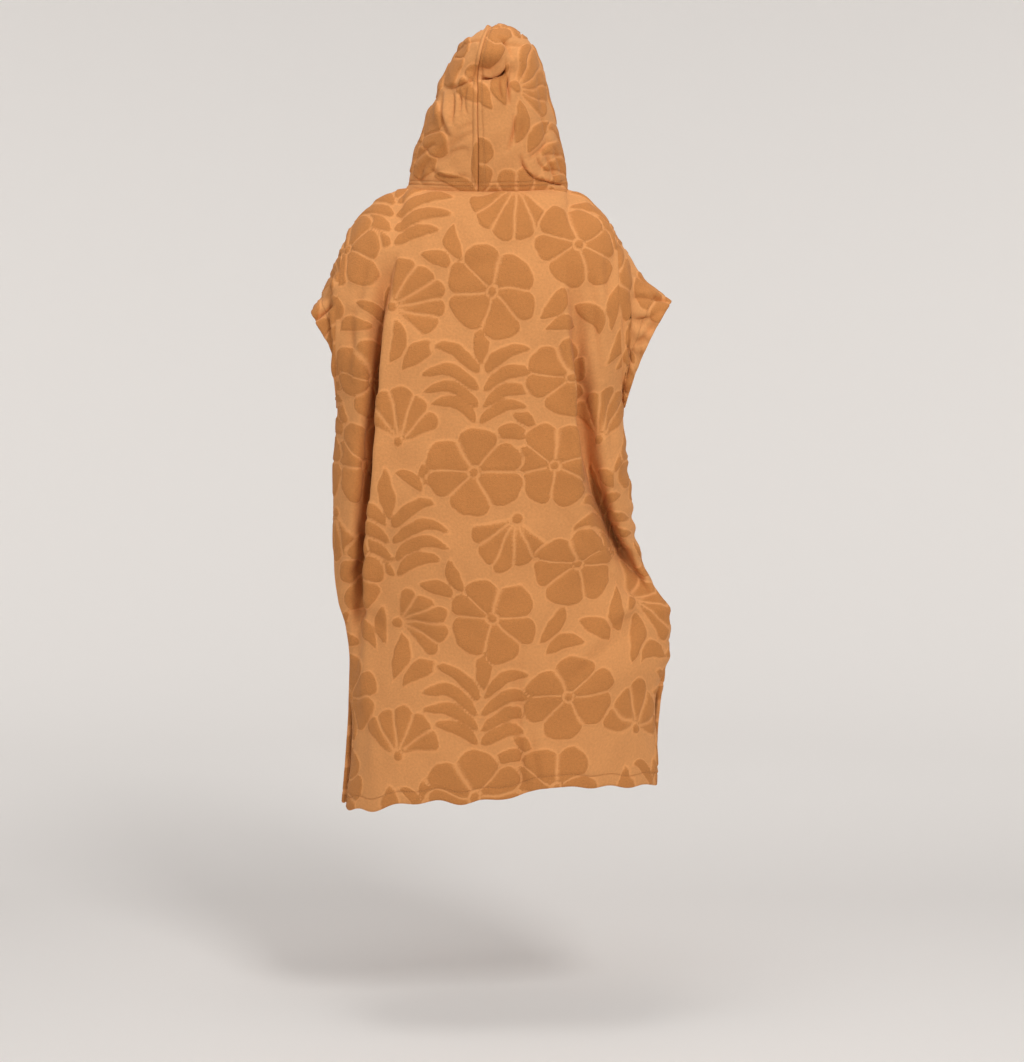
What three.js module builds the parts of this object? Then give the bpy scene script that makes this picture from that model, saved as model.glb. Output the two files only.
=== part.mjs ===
// A hooded bath poncho of thick terry cloth, in the shape it takes when it is worn with its sides
// held out at the hip. Six cut pieces are sewn together: back, front, two short sleeves and the
// two halves of the hood. Each is a wall of cloth with a turned hem along its free edge.
// Units are millimetres. +Z is up, the front faces -Y and the wearer's left is +X.
// The origin is the middle of the neck opening, at the height where the shoulders carry the cloth.
import * as THREE from "three";

// Driving dimensions.
const CLOTH = 3; // thickness of one layer of terry
const SEAM_GAP = 0.3; // between two sewn pieces
const HALF_WIDTH = 300; // cloth from the middle of a body panel to its side seam
const HEM = 22; // depth of the turned hems
const CHEST = -200; // height where the shoulder's curve has become a wall
const UNDERARM = -370; // height of the lowest point of the armholes
const HEM_LEVEL = -1050; // height at which the body's sections end
const VENT = { top: -850, fade: 50, halfGap: 5 }; // open slit at the foot of each side seam
const NECK_SHARE = 0.54; // part of a body panel's half width that the neckline takes
const NECK_LIFT = 3.4; // the hood's foot stands this far above the neckline
const NECK_POINT = 1.2; // above 1 the neckline meets the shoulder seams in a soft corner
const SHOULDER = {
  left: { bendX: 215, bendZ: -8, tipX: 243, tipZ: -88 },
  right: { bendX: -187, bendZ: -8, tipX: -222, tipZ: -78 },
};
const UPPER_SHARE = 0.24; // part of a body panel's length that lies above the chest

// Sections of the body from the chest down. Left and right are the side seams, back and front the
// depths at the middle, cover is the share of a quarter turn that a panel reaches before its edge,
// and square is how far the section is from an ellipse: above zero is fuller, below it is leaner.
const BODY = [
  { z: -200, left: 254, right: 225, back: 112, front: 122, cover: 0.6, square: 0.03 },
  { z: -280, left: 257, right: 229, back: 116, front: 133, cover: 0.7, square: 0.03 },
  { z: -335, left: 257, right: 231, back: 117, front: 137, cover: 0.86, square: 0.03 },
  { z: -370, left: 257, right: 232, back: 117, front: 138, cover: 1, square: 0.03 },
  { z: -460, left: 263, right: 238, back: 117, front: 137, cover: 1, square: 0.03 },
  { z: -540, left: 265, right: 248, back: 116, front: 132, cover: 1, square: 0.02 },
  { z: -640, left: 264, right: 263, back: 114, front: 126, cover: 1, square: -0.03 },
  { z: -700, left: 257, right: 290, back: 112, front: 120, cover: 1, square: -0.06 },
  { z: -740, left: 245, right: 316, back: 111, front: 117, cover: 1, square: -0.06 },
  { z: -800, left: 238, right: 315, back: 110, front: 117, cover: 1, square: -0.03 },
  { z: -880, left: 241, right: 304, back: 110, front: 119, cover: 1, square: 0 },
  { z: -970, left: 247, right: 296, back: 112, front: 123, cover: 1, square: 0.02 },
  { z: -1050, left: 254, right: 295, back: 114, front: 127, cover: 1, square: 0.02 },
];

// Heights of the two lower edges, across each panel from its right seam to its left seam.
const HEM_LINE = [
  { u: -1, back: -1026, front: -1026 },
  { u: -0.62, back: -1020, front: -1036 },
  { u: -0.26, back: -1014, front: -1047 },
  { u: -0.07, back: -1036, front: -1052 },
  { u: 0.24, back: -1041, front: -1054 },
  { u: 0.68, back: -1061, front: -1058 },
  { u: 1, back: -1064, front: -1064 },
];

// Folds of the body. Each is a trough that runs down a line of places, with its depth at each, and
// inner and outer are its widths towards the middle and towards the side seam.
const FOLDS = [
  {
    face: "back",
    inner: 21,
    outer: 34,
    line: [
      { z: -110, x: 180, depth: 0 },
      { z: -190, x: 188, depth: 20 },
      { z: -280, x: 198, depth: 44 },
      { z: -450, x: 211, depth: 52 },
      { z: -600, x: 226, depth: 46 },
      { z: -690, x: 234, depth: 28 },
      { z: -860, x: 238, depth: 0 },
    ],
  },
  {
    face: "back",
    inner: 22,
    outer: 36,
    line: [
      { z: -130, x: -148, depth: 0 },
      { z: -240, x: -151, depth: 22 },
      { z: -360, x: -155, depth: 46 },
      { z: -490, x: -173, depth: 52 },
      { z: -560, x: -195, depth: 50 },
      { z: -615, x: -219, depth: 44 },
      { z: -665, x: -248, depth: 32 },
      { z: -740, x: -282, depth: 0 },
    ],
  },
  {
    face: "back",
    inner: 70,
    outer: 60,
    line: [
      { z: -700, x: -60, depth: 0 },
      { z: -900, x: -48, depth: 8 },
      { z: -1050, x: -40, depth: 16 },
    ],
  },
  {
    face: "front",
    inner: 40,
    outer: 48,
    line: [
      { z: -140, x: 150, depth: 0 },
      { z: -300, x: 160, depth: 26 },
      { z: -460, x: 174, depth: 34 },
      { z: -590, x: 200, depth: 28 },
      { z: -700, x: 225, depth: 0 },
    ],
  },
  {
    face: "front",
    inner: 40,
    outer: 48,
    line: [
      { z: -130, x: -136, depth: 0 },
      { z: -300, x: -144, depth: 26 },
      { z: -460, x: -162, depth: 36 },
      { z: -600, x: -200, depth: 30 },
      { z: -710, x: -240, depth: 0 },
    ],
  },
  {
    face: "front",
    inner: 50,
    outer: 56,
    line: [
      { z: -330, x: 34, depth: 0 },
      { z: -620, x: 42, depth: 16 },
      { z: -900, x: 58, depth: 24 },
      { z: -1050, x: 66, depth: 28 },
    ],
  },
  {
    face: "front",
    inner: 46,
    outer: 54,
    line: [
      { z: -420, x: -78, depth: 0 },
      { z: -700, x: -96, depth: 16 },
      { z: -1050, x: -120, depth: 26 },
    ],
  },
];
const FOLD_ROOM = 60; // a fold fades where the wall is nearer than this to the side seam

// Sleeves. Each cuff is a bent oval: its foot and its top are given, with the place between them
// that its two sides bend towards. Out is the way its cloth points at the top. Towards the foot the
// oval is narrower, its cloth points straight out and the turned hem thins away.
const ARMHOLE_GAP = { top: 1.2, foot: 2 }; // from a body panel's edge to the sleeve
const ARMHOLE_LOW = { from: 0.55, to: 1 }; // where round the armhole a sleeve starts straight out
const CUFF_FOOT = { narrower: 0.5, out: { x: 1, y: 0, z: -0.35 }, from: 0.71 };
const CUFF_HEM = { from: 0.6, to: 0.85 }; // where along a sleeve its second layer grows
const SLEEVE_BEND = 0.3; // part of a sleeve's length over which it bends at either end
const CUFFS = {
  left: {
    foot: { x: 266, y: -3, z: -377 },
    bend: { x: 250, y: 0, z: -246 },
    top: { x: 301, y: 4, z: -201 },
    half: 66,
    out: { x: 0.6, y: 0, z: -0.8 },
  },
  right: {
    foot: { x: -243, y: -3, z: -378 },
    bend: { x: -250, y: 0, z: -278 },
    top: { x: -318, y: 4, z: -189 },
    half: 68,
    out: { x: -0.78, y: 0, z: -0.62 },
  },
};

// Sections of the hood from the neck to the forehead, where q goes from 0 to 1. Back is a point of
// the middle seam, side the widest place and front a point of the face edge. Half is half the width
// and face the angle in degrees between straight ahead and the face edge.
const HOOD = [
  { q: 0, backY: 75, backZ: -10, sideZ: 0, frontY: -84, frontZ: -52, half: 137, face: 3 },
  { q: 0.16, backY: 91, backZ: 40, sideZ: 48, frontY: -104, frontZ: 12, half: 127, face: 24 },
  { q: 0.33, backY: 102, backZ: 94, sideZ: 98, frontY: -116, frontZ: 86, half: 115, face: 43 },
  { q: 0.49, backY: 107, backZ: 146, sideZ: 147, frontY: -117, frontZ: 146, half: 100, face: 57 },
  { q: 0.64, backY: 107, backZ: 198, sideZ: 195, frontY: -110, frontZ: 196, half: 84, face: 63 },
  { q: 0.77, backY: 94, backZ: 239, sideZ: 231, frontY: -98, frontZ: 230, half: 69, face: 62 },
  { q: 0.88, backY: 56, backZ: 267, sideZ: 254, frontY: -88, frontZ: 251, half: 51, face: 55 },
  { q: 0.95, backY: 4, backZ: 276, sideZ: 266, frontY: -82, frontZ: 259, half: 29, face: 48 },
  { q: 1, backY: -44, backZ: 272, sideZ: 270, frontY: -78, frontZ: 264, half: 0, face: 45 },
];
// Lean is the shift of a section to the wearer's left, and twist how far in degrees its seam turns.
const HOOD_TURN = [
  { q: 0, lean: 0, twist: 6 },
  { q: 0.16, lean: -2, twist: 7 },
  { q: 0.49, lean: -8, twist: 13 },
  { q: 0.64, lean: -12, twist: 17 },
  { q: 0.88, lean: -18, twist: 14 },
  { q: 1, lean: -24, twist: 12 },
];
const FACE_TWIST = 0.2; // part of the twist that reaches the face edge
const HOOD_HEM = 0.1; // part of a hood half's depth that its turned hem takes
const HOOD_ROUND = 0.3; // part of the height over which the neckline's soft corner fades
// The slumped point of the hood folds over on itself in a short crease across the back.
const HOOD_CREASE = { x: -8, z: 188, halfWidth: 34, depth: 24, height: 15 };
const HOOD_LIP = { z: 221, depth: -9, height: 24 };

// Mesh sizes, in spaces across and down each piece.
const BACK_GRID = { across: 40, down: 28 };
const FRONT_GRID = { across: 34, down: 25 };
const SLEEVE_GRID = { around: 36, along: 4 };
const HOOD_ACROSS = 15;
const HOOD_BELOW = { to: 0.56, down: 9 };
const HOOD_CREASED = { from: 0.59, to: 0.74, down: 6 }; // closer lines across the crease
const HOOD_ABOVE = { from: 0.78, down: 6 };
const CLOSER = 0.09; // how much closer the columns of a body panel are at its two long folds

const TERRY = { color: 0xd2935a, roughness: 0.95, metalness: 0 };
const QUARTER = Math.PI / 2;
const DEGREE = Math.PI / 180;
const mix = (a, b, share) => a + (b - a) * share;
const limited = (value) => Math.min(1, Math.max(0, value));
const eased = (value) => limited(value) ** 2 * (3 - 2 * limited(value));
const between = ({ from, to }, value) => (value - from) / (to - from);
const vector = ({ x, y, z }) => new THREE.Vector3(x, y, z);

// One column of a table as a smooth curve along its key column, with no overshoot between rows.
function read(table, key, column, place) {
  const rising = table[table.length - 1][key] > table[0][key] ? 1 : -1;
  const inside = (row) => rising * (row[key] - place) >= 0;
  const found = table.findIndex(inside);
  const above = found < 0 ? table.length - 1 : Math.max(1, found);
  const slope = (i) =>
    (table[i + 1][column] - table[i][column]) / (table[i + 1][key] - table[i][key]);
  const tangent = (i) => {
    if (i === 0) return slope(0);
    if (i === table.length - 1) return slope(i - 1);
    const before = slope(i - 1);
    const after = slope(i);
    return before * after > 0 ? (2 * before * after) / (before + after) : 0;
  };
  const low = table[above - 1];
  const high = table[above];
  const span = high[key] - low[key];
  const t = limited((place - low[key]) / span);
  const rise = t * t * (3 - 2 * t);
  const enter = t * (1 - t) ** 2 * span * tangent(above - 1);
  const leave = t * t * (t - 1) * span * tangent(above);
  return mix(low[column], high[column], rise) + enter + leave;
}

// How far the folds of one face push its wall inwards at a place.
function foldDepth(face, x, z) {
  let depth = 0;
  for (const fold of FOLDS) {
    const last = fold.line[fold.line.length - 1];
    if (fold.face !== face || z > fold.line[0].z || (z < last.z && last.depth === 0)) continue;
    const path = read(fold.line, "z", "x", z);
    const outwards = (x - path) * Math.sign(path);
    const width = outwards < 0 ? fold.inner : fold.outer;
    depth += read(fold.line, "z", "depth", z) * Math.exp(-((outwards / width) ** 2));
  }
  return depth;
}

// A level section of one body panel. u runs from -1 at the right edge to 1 at the left edge.
function section(face, u, z) {
  const row = (column) => read(BODY, "z", column, z);
  const square = row("square");
  const vent = (VENT.halfGap / row(face)) * eased((VENT.top - z) / VENT.fade);
  const edge = QUARTER * row("cover");
  const angle = u * (edge - vent);
  const reach = Math.sin(edge) + square * Math.sin(3 * edge);
  const across = (Math.sin(angle) + square * Math.sin(3 * angle)) / reach;
  const deep = (Math.cos(angle) - square * Math.cos(3 * angle)) / (1 - square);
  const x = across * row(u > 0 ? "left" : "right");
  const wall = deep * row(face);
  const depth = wall - foldDepth(face, x, z) * limited(wall / FOLD_ROOM);
  return { x, y: face === "back" ? depth : -depth };
}

// Where across a panel its long fold lies at a level, for the side that sign gives.
function foldPlace(face, sign, z) {
  const fold = FOLDS.find((one) => one.face === face && one.line[0].x * sign > 0);
  const level = Math.max(fold.line[fold.line.length - 1].z, Math.min(fold.line[0].z, z));
  const x = Math.abs(read(fold.line, "z", "x", level));
  let low = 0;
  let high = 1;
  for (let i = 0; i < 20; i++) {
    const middle = (low + high) / 2;
    if (Math.abs(section(face, sign * middle, Math.min(CHEST, level)).x) < x) low = middle;
    else high = middle;
  }
  return low;
}

// The neckline at an angle from the middle of the back, which is also the foot of the hood.
function neckline(angle) {
  const base = HOOD[0];
  const turn = Math.cos(angle);
  const reach = Math.abs(turn) ** NECK_POINT;
  const behind = turn > 0;
  return new THREE.Vector3(
    base.half * Math.sin(angle),
    (behind ? base.backY : base.frontY) * reach,
    (behind ? base.backZ : base.frontZ) * turn * turn,
  );
}

// The top edge of one body panel: half of the neckline, and the shoulder seams beside it.
function topEdge(face, u) {
  const side = u < 0 ? -1 : 1;
  const run = Math.abs(u) / NECK_SHARE;
  if (run < 1) {
    const turn = side * run * QUARTER;
    return neckline(face === "back" ? turn : Math.PI - turn);
  }
  const t = (Math.abs(u) - NECK_SHARE) / (1 - NECK_SHARE);
  const { bendX, bendZ, tipX, tipZ } = side > 0 ? SHOULDER.left : SHOULDER.right;
  const bezier = (start, bend, end) =>
    start * (1 - t) ** 2 + 2 * bend * t * (1 - t) + end * t * t;
  return new THREE.Vector3(
    bezier(side * HOOD[0].half, bendX, tipX),
    0,
    bezier(0, bendZ, tipZ),
  );
}

// A point of a body panel. v runs from 0 at the shoulder to 1 at the hem.
function bodyPoint(face, u, v) {
  if (v < UPPER_SHARE) {
    const turn = (v / UPPER_SHARE) * QUARTER;
    const top = topEdge(face, u);
    const z = mix(top.z, CHEST, 1 - Math.cos(turn));
    const wall = section(face, u, CHEST);
    const fold = foldDepth(face, wall.x, z) - foldDepth(face, wall.x, CHEST);
    const inwards = face === "back" ? -fold : fold;
    return new THREE.Vector3(
      mix(top.x, wall.x, 1 - Math.cos(turn)),
      mix(top.y, wall.y + inwards, Math.sin(turn)),
      z,
    );
  }
  const down = (v - UPPER_SHARE) / (1 - UPPER_SHARE);
  const { x, y } = section(face, u, mix(CHEST, HEM_LEVEL, down));
  return new THREE.Vector3(x, y, mix(CHEST, read(HEM_LINE, "u", face, u), down));
}

// Share of a body panel's length at a level below the chest.
const shareAt = (level) =>
  mix(UPPER_SHARE, 1, (level - CHEST) / (HEM_LEVEL - CHEST));

// A point of a sleeve. turn runs round it from the underarm by the back, and along from armhole to cuff.
function sleevePoint(side, turn, along) {
  const u = (side === "left" ? 1 : -1) * (1 - SEAM_GAP / HALF_WIDTH);
  const face = turn < 0.5 ? "back" : "front";
  const angle = turn * 2 * Math.PI;
  const share = (1 + Math.cos(angle)) / 2;
  const v = shareAt(UNDERARM) * share;
  const start = bodyPoint(face, u, v);
  const leaving = start.clone().sub(bodyPoint(face, u * 0.995, v)).normalize();
  const low = eased(between(ARMHOLE_LOW, share));
  leaving.lerp(new THREE.Vector3(Math.sign(u), 0, 0), low).normalize();
  start.addScaledVector(leaving, mix(ARMHOLE_GAP.top, ARMHOLE_GAP.foot, low));
  const { foot, bend, top, half, out } = CUFFS[side];
  const line = new THREE.QuadraticBezierCurve3(vector(top), vector(bend), vector(foot));
  const end = line.getPoint(share);
  end.y += half * Math.sin(angle) * mix(1, CUFF_FOOT.narrower, share);
  const length = start.distanceTo(end);
  const leave = start.clone().addScaledVector(leaving, length * SLEEVE_BEND);
  const hanging = vector(out).lerp(vector(CUFF_FOOT.out), limited(share / CUFF_FOOT.from)).normalize();
  const arrive = end.clone().addScaledVector(hanging, -length * SLEEVE_BEND);
  return new THREE.CubicBezierCurve3(start, leave, arrive, end).getPoint(along);
}

// A point of one half of the hood. p runs from the middle seam to the face edge, q from the neck up.
function hoodPoint(side, p, q) {
  const row = (column) => read(HOOD, "q", column, q);
  const sign = side === "left" ? 1 : -1;
  const face = row("face") * DEGREE;
  const twist = read(HOOD_TURN, "q", "twist", q) * DEGREE * mix(1, FACE_TWIST, p);
  const angle = sign * p * (Math.PI - face) + twist;
  if (q < 1e-9) return neckline(angle);
  const turn = Math.cos(angle);
  const power = mix(NECK_POINT, 1, eased(q / HOOD_ROUND));
  const middle = mix(0, (row("backY") + row("frontY")) / 2, eased(q / HOOD_ROUND));
  const shape = Math.sign(turn) * Math.abs(turn) ** power;
  const behind = middle + (row("backY") - middle) * shape;
  const ahead = middle - ((row("frontY") - middle) * shape) / Math.cos(face) ** power;
  const edgeZ = turn > 0 ? row("backZ") : row("frontZ");
  const steep = turn > 0 ? 1 : 1 / Math.cos(face) ** 2;
  const x = read(HOOD_TURN, "q", "lean", q) + row("half") * Math.sin(angle);
  const z = row("sideZ") + (edgeZ - row("sideZ")) * turn * turn * steep;
  const across = Math.exp(-(((x - HOOD_CREASE.x) / HOOD_CREASE.halfWidth) ** 2));
  const level = (dent) => dent.depth * Math.exp(-(((z - dent.z) / dent.height) ** 2));
  const dent = across * (level(HOOD_CREASE) + level(HOOD_LIP)) * limited(turn * 2);
  return new THREE.Vector3(x, (turn > 0 ? behind : ahead) - dent, z);
}

// The wall of cloth between two offsets of a sheet. point(u, v) gives the sheet, us and vs are the
// places of its grid lines, inner(u, v) is how far the wall reaches inwards, and seam(u, v) tells
// where the edge lies flat against the other half, across X.
function wall({ name, point, us, vs, facing, closed = false, inner, seam = () => false }) {
  const columns = us.length;
  const rows = vs.length;
  const step = 1e-4;
  const outerSide = [];
  const innerSide = [];
  for (const v of vs) {
    for (const u of us) {
      const place = point(u, v);
      const ahead = closed ? u + step : Math.min(u + step, us[columns - 1]);
      const behind = closed ? u - step : Math.max(u - step, us[0]);
      const across = point(ahead, v).sub(point(behind, v));
      const below = point(u, Math.min(v + step, vs[rows - 1]));
      const down = below.sub(point(u, Math.max(v - step, vs[0])));
      const normal = across.cross(down).multiplyScalar(facing);
      if (seam(u, v)) normal.x = 0;
      normal.normalize();
      outerSide.push(place.clone().addScaledVector(normal, CLOTH / 2));
      innerSide.push(place.clone().addScaledVector(normal, -inner(u, v)));
    }
  }
  const at = (layer, i, j) => layer * columns * rows + j * columns + (i % columns);
  const index = [];
  const quad = (a, b, c, d) => {
    if (facing > 0) index.push(a, b, c, a, c, d);
    else index.push(a, c, b, a, d, c);
  };
  const spans = closed ? columns : columns - 1;
  for (let i = 0; i < spans; i++) {
    for (let j = 0; j < rows - 1; j++) {
      quad(at(0, i, j), at(0, i + 1, j), at(0, i + 1, j + 1), at(0, i, j + 1));
      quad(at(1, i, j), at(1, i, j + 1), at(1, i + 1, j + 1), at(1, i + 1, j));
    }
    quad(at(0, i, 0), at(1, i, 0), at(1, i + 1, 0), at(0, i + 1, 0));
    quad(at(0, i, rows - 1), at(0, i + 1, rows - 1), at(1, i + 1, rows - 1), at(1, i, rows - 1));
  }
  for (let j = 0; !closed && j < rows - 1; j++) {
    const last = columns - 1;
    quad(at(0, 0, j), at(0, 0, j + 1), at(1, 0, j + 1), at(1, 0, j));
    quad(at(0, last, j), at(1, last, j), at(1, last, j + 1), at(0, last, j + 1));
  }
  const positions = [...outerSide, ...innerSide].flatMap((p) => p.toArray());
  const geometry = new THREE.BufferGeometry();
  geometry.setAttribute("position", new THREE.Float32BufferAttribute(positions, 3));
  geometry.setIndex(index);
  geometry.computeVertexNormals();
  const mesh = new THREE.Mesh(geometry, new THREE.MeshStandardMaterial(TERRY));
  mesh.name = name;
  return mesh;
}

const evenly = (from, to, spaces) =>
  Array.from({ length: spaces + 1 }, (_, i) => mix(from, to, i / spaces));

// Grid lines up to a turned hem: two close lines where the second layer starts, then the edge.
const upToHem = (from, share, spaces) => [
  ...evenly(from, 1 - share, spaces),
  1 - share + (share * CLOTH) / HEM,
  1,
];

// How far a wall reaches inwards, with a second layer along a turned hem.
const layered = (along, share) => (along > 1 - share + 1e-6 ? CLOTH * 1.5 : CLOTH / 2);

function bodyPanel(name, face, grid) {
  const edge = 1 - SEAM_GAP / HALF_WIDTH;
  const hemShare = (HEM / (CHEST - HEM_LEVEL)) * (1 - UPPER_SHARE);
  const followed = (c, v) => {
    const closer = Math.abs(c) + CLOSER * Math.sin(2 * Math.PI * Math.abs(c));
    const level = mix(CHEST, HEM_LEVEL, Math.max(0, v - UPPER_SHARE) / (1 - UPPER_SHARE));
    const fold = foldPlace(face, c < 0 ? -1 : 1, level);
    const share = closer < 0.5 ? fold * 2 * closer : mix(fold, 1, 2 * closer - 1);
    return Math.sign(c) * share * edge;
  };
  return wall({
    name,
    point: (c, v) => bodyPoint(face, followed(c, v), v),
    us: evenly(-1, 1, grid.across),
    vs: upToHem(SEAM_GAP / HALF_WIDTH / 2, hemShare, grid.down),
    facing: face === "back" ? 1 : -1,
    inner: (u, v) => layered(v, hemShare),
  });
}

function sleeve(name, side) {
  const turns = evenly(0, 1, SLEEVE_GRID.around).slice(0, -1);
  return wall({
    name,
    point: (turn, along) => sleevePoint(side, (turn + 1) % 1, along),
    us: turns,
    vs: evenly(0, 1, SLEEVE_GRID.along),
    facing: side === "left" ? 1 : -1,
    closed: true,
    inner: (turn, along) => {
      const low = (1 + Math.cos(turn * 2 * Math.PI)) / 2;
      const second = eased(between(CUFF_HEM, along)) * (1 - eased(low / CUFF_FOOT.from));
      return CLOTH / 2 + CLOTH * second;
    },
  });
}

function hoodHalf(name, side) {
  const sign = side === "left" ? 1 : -1;
  const point = (q, p) => {
    const place = hoodPoint(side, p, q);
    place.x += (sign * SEAM_GAP) / 2;
    place.z += NECK_LIFT * (1 - q);
    return place;
  };
  return wall({
    name,
    point,
    us: [
      ...evenly(0, HOOD_BELOW.to, HOOD_BELOW.down),
      ...evenly(HOOD_CREASED.from, HOOD_CREASED.to, HOOD_CREASED.down),
      ...evenly(HOOD_ABOVE.from, 1, HOOD_ABOVE.down),
    ],
    vs: upToHem(0, HOOD_HEM, HOOD_ACROSS),
    facing: side === "left" ? 1 : -1,
    inner: (q, p) => layered(p, HOOD_HEM),
    seam: (q, p) => p < 1e-6 || q > 1 - 1e-6,
  });
}

const poncho = new THREE.Group();
poncho.add(
  bodyPanel("back", "back", BACK_GRID),
  bodyPanel("front", "front", FRONT_GRID),
  sleeve("left_sleeve", "left"),
  sleeve("right_sleeve", "right"),
  hoodHalf("left_hood", "left"),
  hoodHalf("right_hood", "right"),
);
export default poncho;
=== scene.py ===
"""A hooded bath poncho of sculpted terry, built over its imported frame.

Each piece is one cut panel of cloth, with its hems and seam allowances turned in, in the shape
that it takes when the poncho is worn. Shapes are worked out in millimetres and handed to Blender
in metres. +Z is up, the front faces -Y and the garment's left side is +X.
"""
import math

import bmesh
import bpy
import numpy as np
from bpy.props import FloatProperty, FloatVectorProperty, PointerProperty
from mathutils import Matrix, Vector


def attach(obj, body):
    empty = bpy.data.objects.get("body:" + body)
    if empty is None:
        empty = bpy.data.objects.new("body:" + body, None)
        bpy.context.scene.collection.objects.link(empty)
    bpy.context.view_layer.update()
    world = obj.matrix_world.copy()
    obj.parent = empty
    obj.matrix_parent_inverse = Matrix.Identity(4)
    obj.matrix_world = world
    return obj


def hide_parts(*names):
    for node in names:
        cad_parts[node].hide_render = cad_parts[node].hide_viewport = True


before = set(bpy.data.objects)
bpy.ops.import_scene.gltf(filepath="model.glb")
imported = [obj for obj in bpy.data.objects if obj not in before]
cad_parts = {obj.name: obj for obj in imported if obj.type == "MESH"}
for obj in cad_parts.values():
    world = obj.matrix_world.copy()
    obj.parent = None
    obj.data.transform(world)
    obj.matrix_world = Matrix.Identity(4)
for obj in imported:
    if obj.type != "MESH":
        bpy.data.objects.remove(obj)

bl_info = {
    "name": "Hooded Bath Poncho",
    "version": (1, 0, 0),
    "blender": (4, 5, 0),
    "location": "View3D > Sidebar > Poncho",
    "description": "Builds a hooded bath poncho of sculpted terry over its frame",
    "category": "Add Mesh",
}

MM = 0.001
QUARTER = math.pi / 2
SEAM_GAP = 0.3  # between two sewn pieces
HALF_WIDTH = 300  # cloth from the middle of a body panel to its side seam
CHEST = -200  # height where the shoulder's curve has become a wall
UNDERARM = -370  # height of the lowest point of the armholes
HEM_LEVEL = -1050  # height at which the body's sections end
VENT_TOP = -850  # height where the side seams end and the vents start
VENT_FADE = 50  # height over which the edges change from a seam's to a vent's
VENT_HALF_GAP = 5
NECK_SHARE = 0.54  # part of a body panel's half width that the neckline takes
NECK_LIFT = 3.4  # the hood's foot stands this far above the neckline
NECK_POINT = 1.2  # above 1 the neckline meets the shoulder seams in a soft corner
UPPER_SHARE = 0.24  # part of a body panel's length that lies above the chest
TROUGH = 6  # width of the flat bottom of a fold
FOLD_ROOM = 46  # a fold fades where the wall is nearer than this to the side seam


def mix(a, b, share):
    """The value that lies a share of the way from a to b."""
    return a + (b - a) * share


def eased(value):
    """0 to 1 with soft ends."""
    value = np.clip(value, 0, 1)
    return value * value * (3 - 2 * value)


class Table:
    """Rows of named columns, read as smooth curves along the first column."""

    def __init__(self, names, rows):
        self.names = names.split()
        rows = np.array(rows, float)
        self.rows = rows if rows[-1, 0] > rows[0, 0] else rows[::-1]

    def read(self, name, place):
        """One column at some places, with no overshoot between rows."""
        keys = self.rows[:, 0]
        values = self.rows[:, self.names.index(name)]
        slope = np.diff(values) / np.diff(keys)
        before, after = slope[:-1], slope[1:]
        same = before * after > 0
        middle = np.where(same, 2 * before * after / np.where(same, before + after, 1), 0)
        tangent = np.concatenate([slope[:1], middle, slope[-1:]])
        place = np.asarray(place, float)
        row = np.clip(np.searchsorted(keys, place) - 1, 0, len(keys) - 2)
        span = keys[row + 1] - keys[row]
        t = np.clip((place - keys[row]) / span, 0, 1)
        enter = t * (1 - t) ** 2 * span * tangent[row]
        leave = t * t * (t - 1) * span * tangent[row + 1]
        return mix(values[row], values[row + 1], t * t * (3 - 2 * t)) + enter + leave

    def ends(self):
        """The lowest and the highest place."""
        return self.rows[0, 0], self.rows[-1, 0]


# Sections of the body from the chest down. Left and right are the side seams, back and front the
# depths at the middle, cover is the share of a quarter turn that a panel reaches, and square is
# how far the section is from an ellipse.
BODY = Table(
    "z left right back front cover square",
    [
        (-200, 254, 225, 112, 122, 0.6, 0.03),
        (-280, 257, 229, 116, 133, 0.7, 0.03),
        (-335, 257, 231, 117, 137, 0.86, 0.03),
        (-370, 257, 232, 117, 138, 1, 0.03),
        (-460, 263, 238, 117, 137, 1, 0.03),
        (-540, 265, 248, 116, 132, 1, 0.02),
        (-640, 264, 263, 114, 126, 1, -0.03),
        (-700, 257, 290, 112, 120, 1, -0.06),
        (-740, 245, 316, 111, 117, 1, -0.06),
        (-800, 238, 315, 110, 117, 1, -0.03),
        (-880, 241, 304, 110, 119, 1, 0),
        (-970, 247, 296, 112, 123, 1, 0.02),
        (-1050, 254, 295, 114, 127, 1, 0.02),
    ],
)

# Heights of the two lower edges, across each panel from its right seam to its left seam.
HEM_LINE = Table(
    "u back front",
    [
        (-1, -1026, -1026),
        (-0.62, -1020, -1036),
        (-0.26, -1014, -1047),
        (-0.07, -1036, -1052),
        (0.24, -1041, -1054),
        (0.68, -1061, -1058),
        (1, -1064, -1064),
    ],
)

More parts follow.
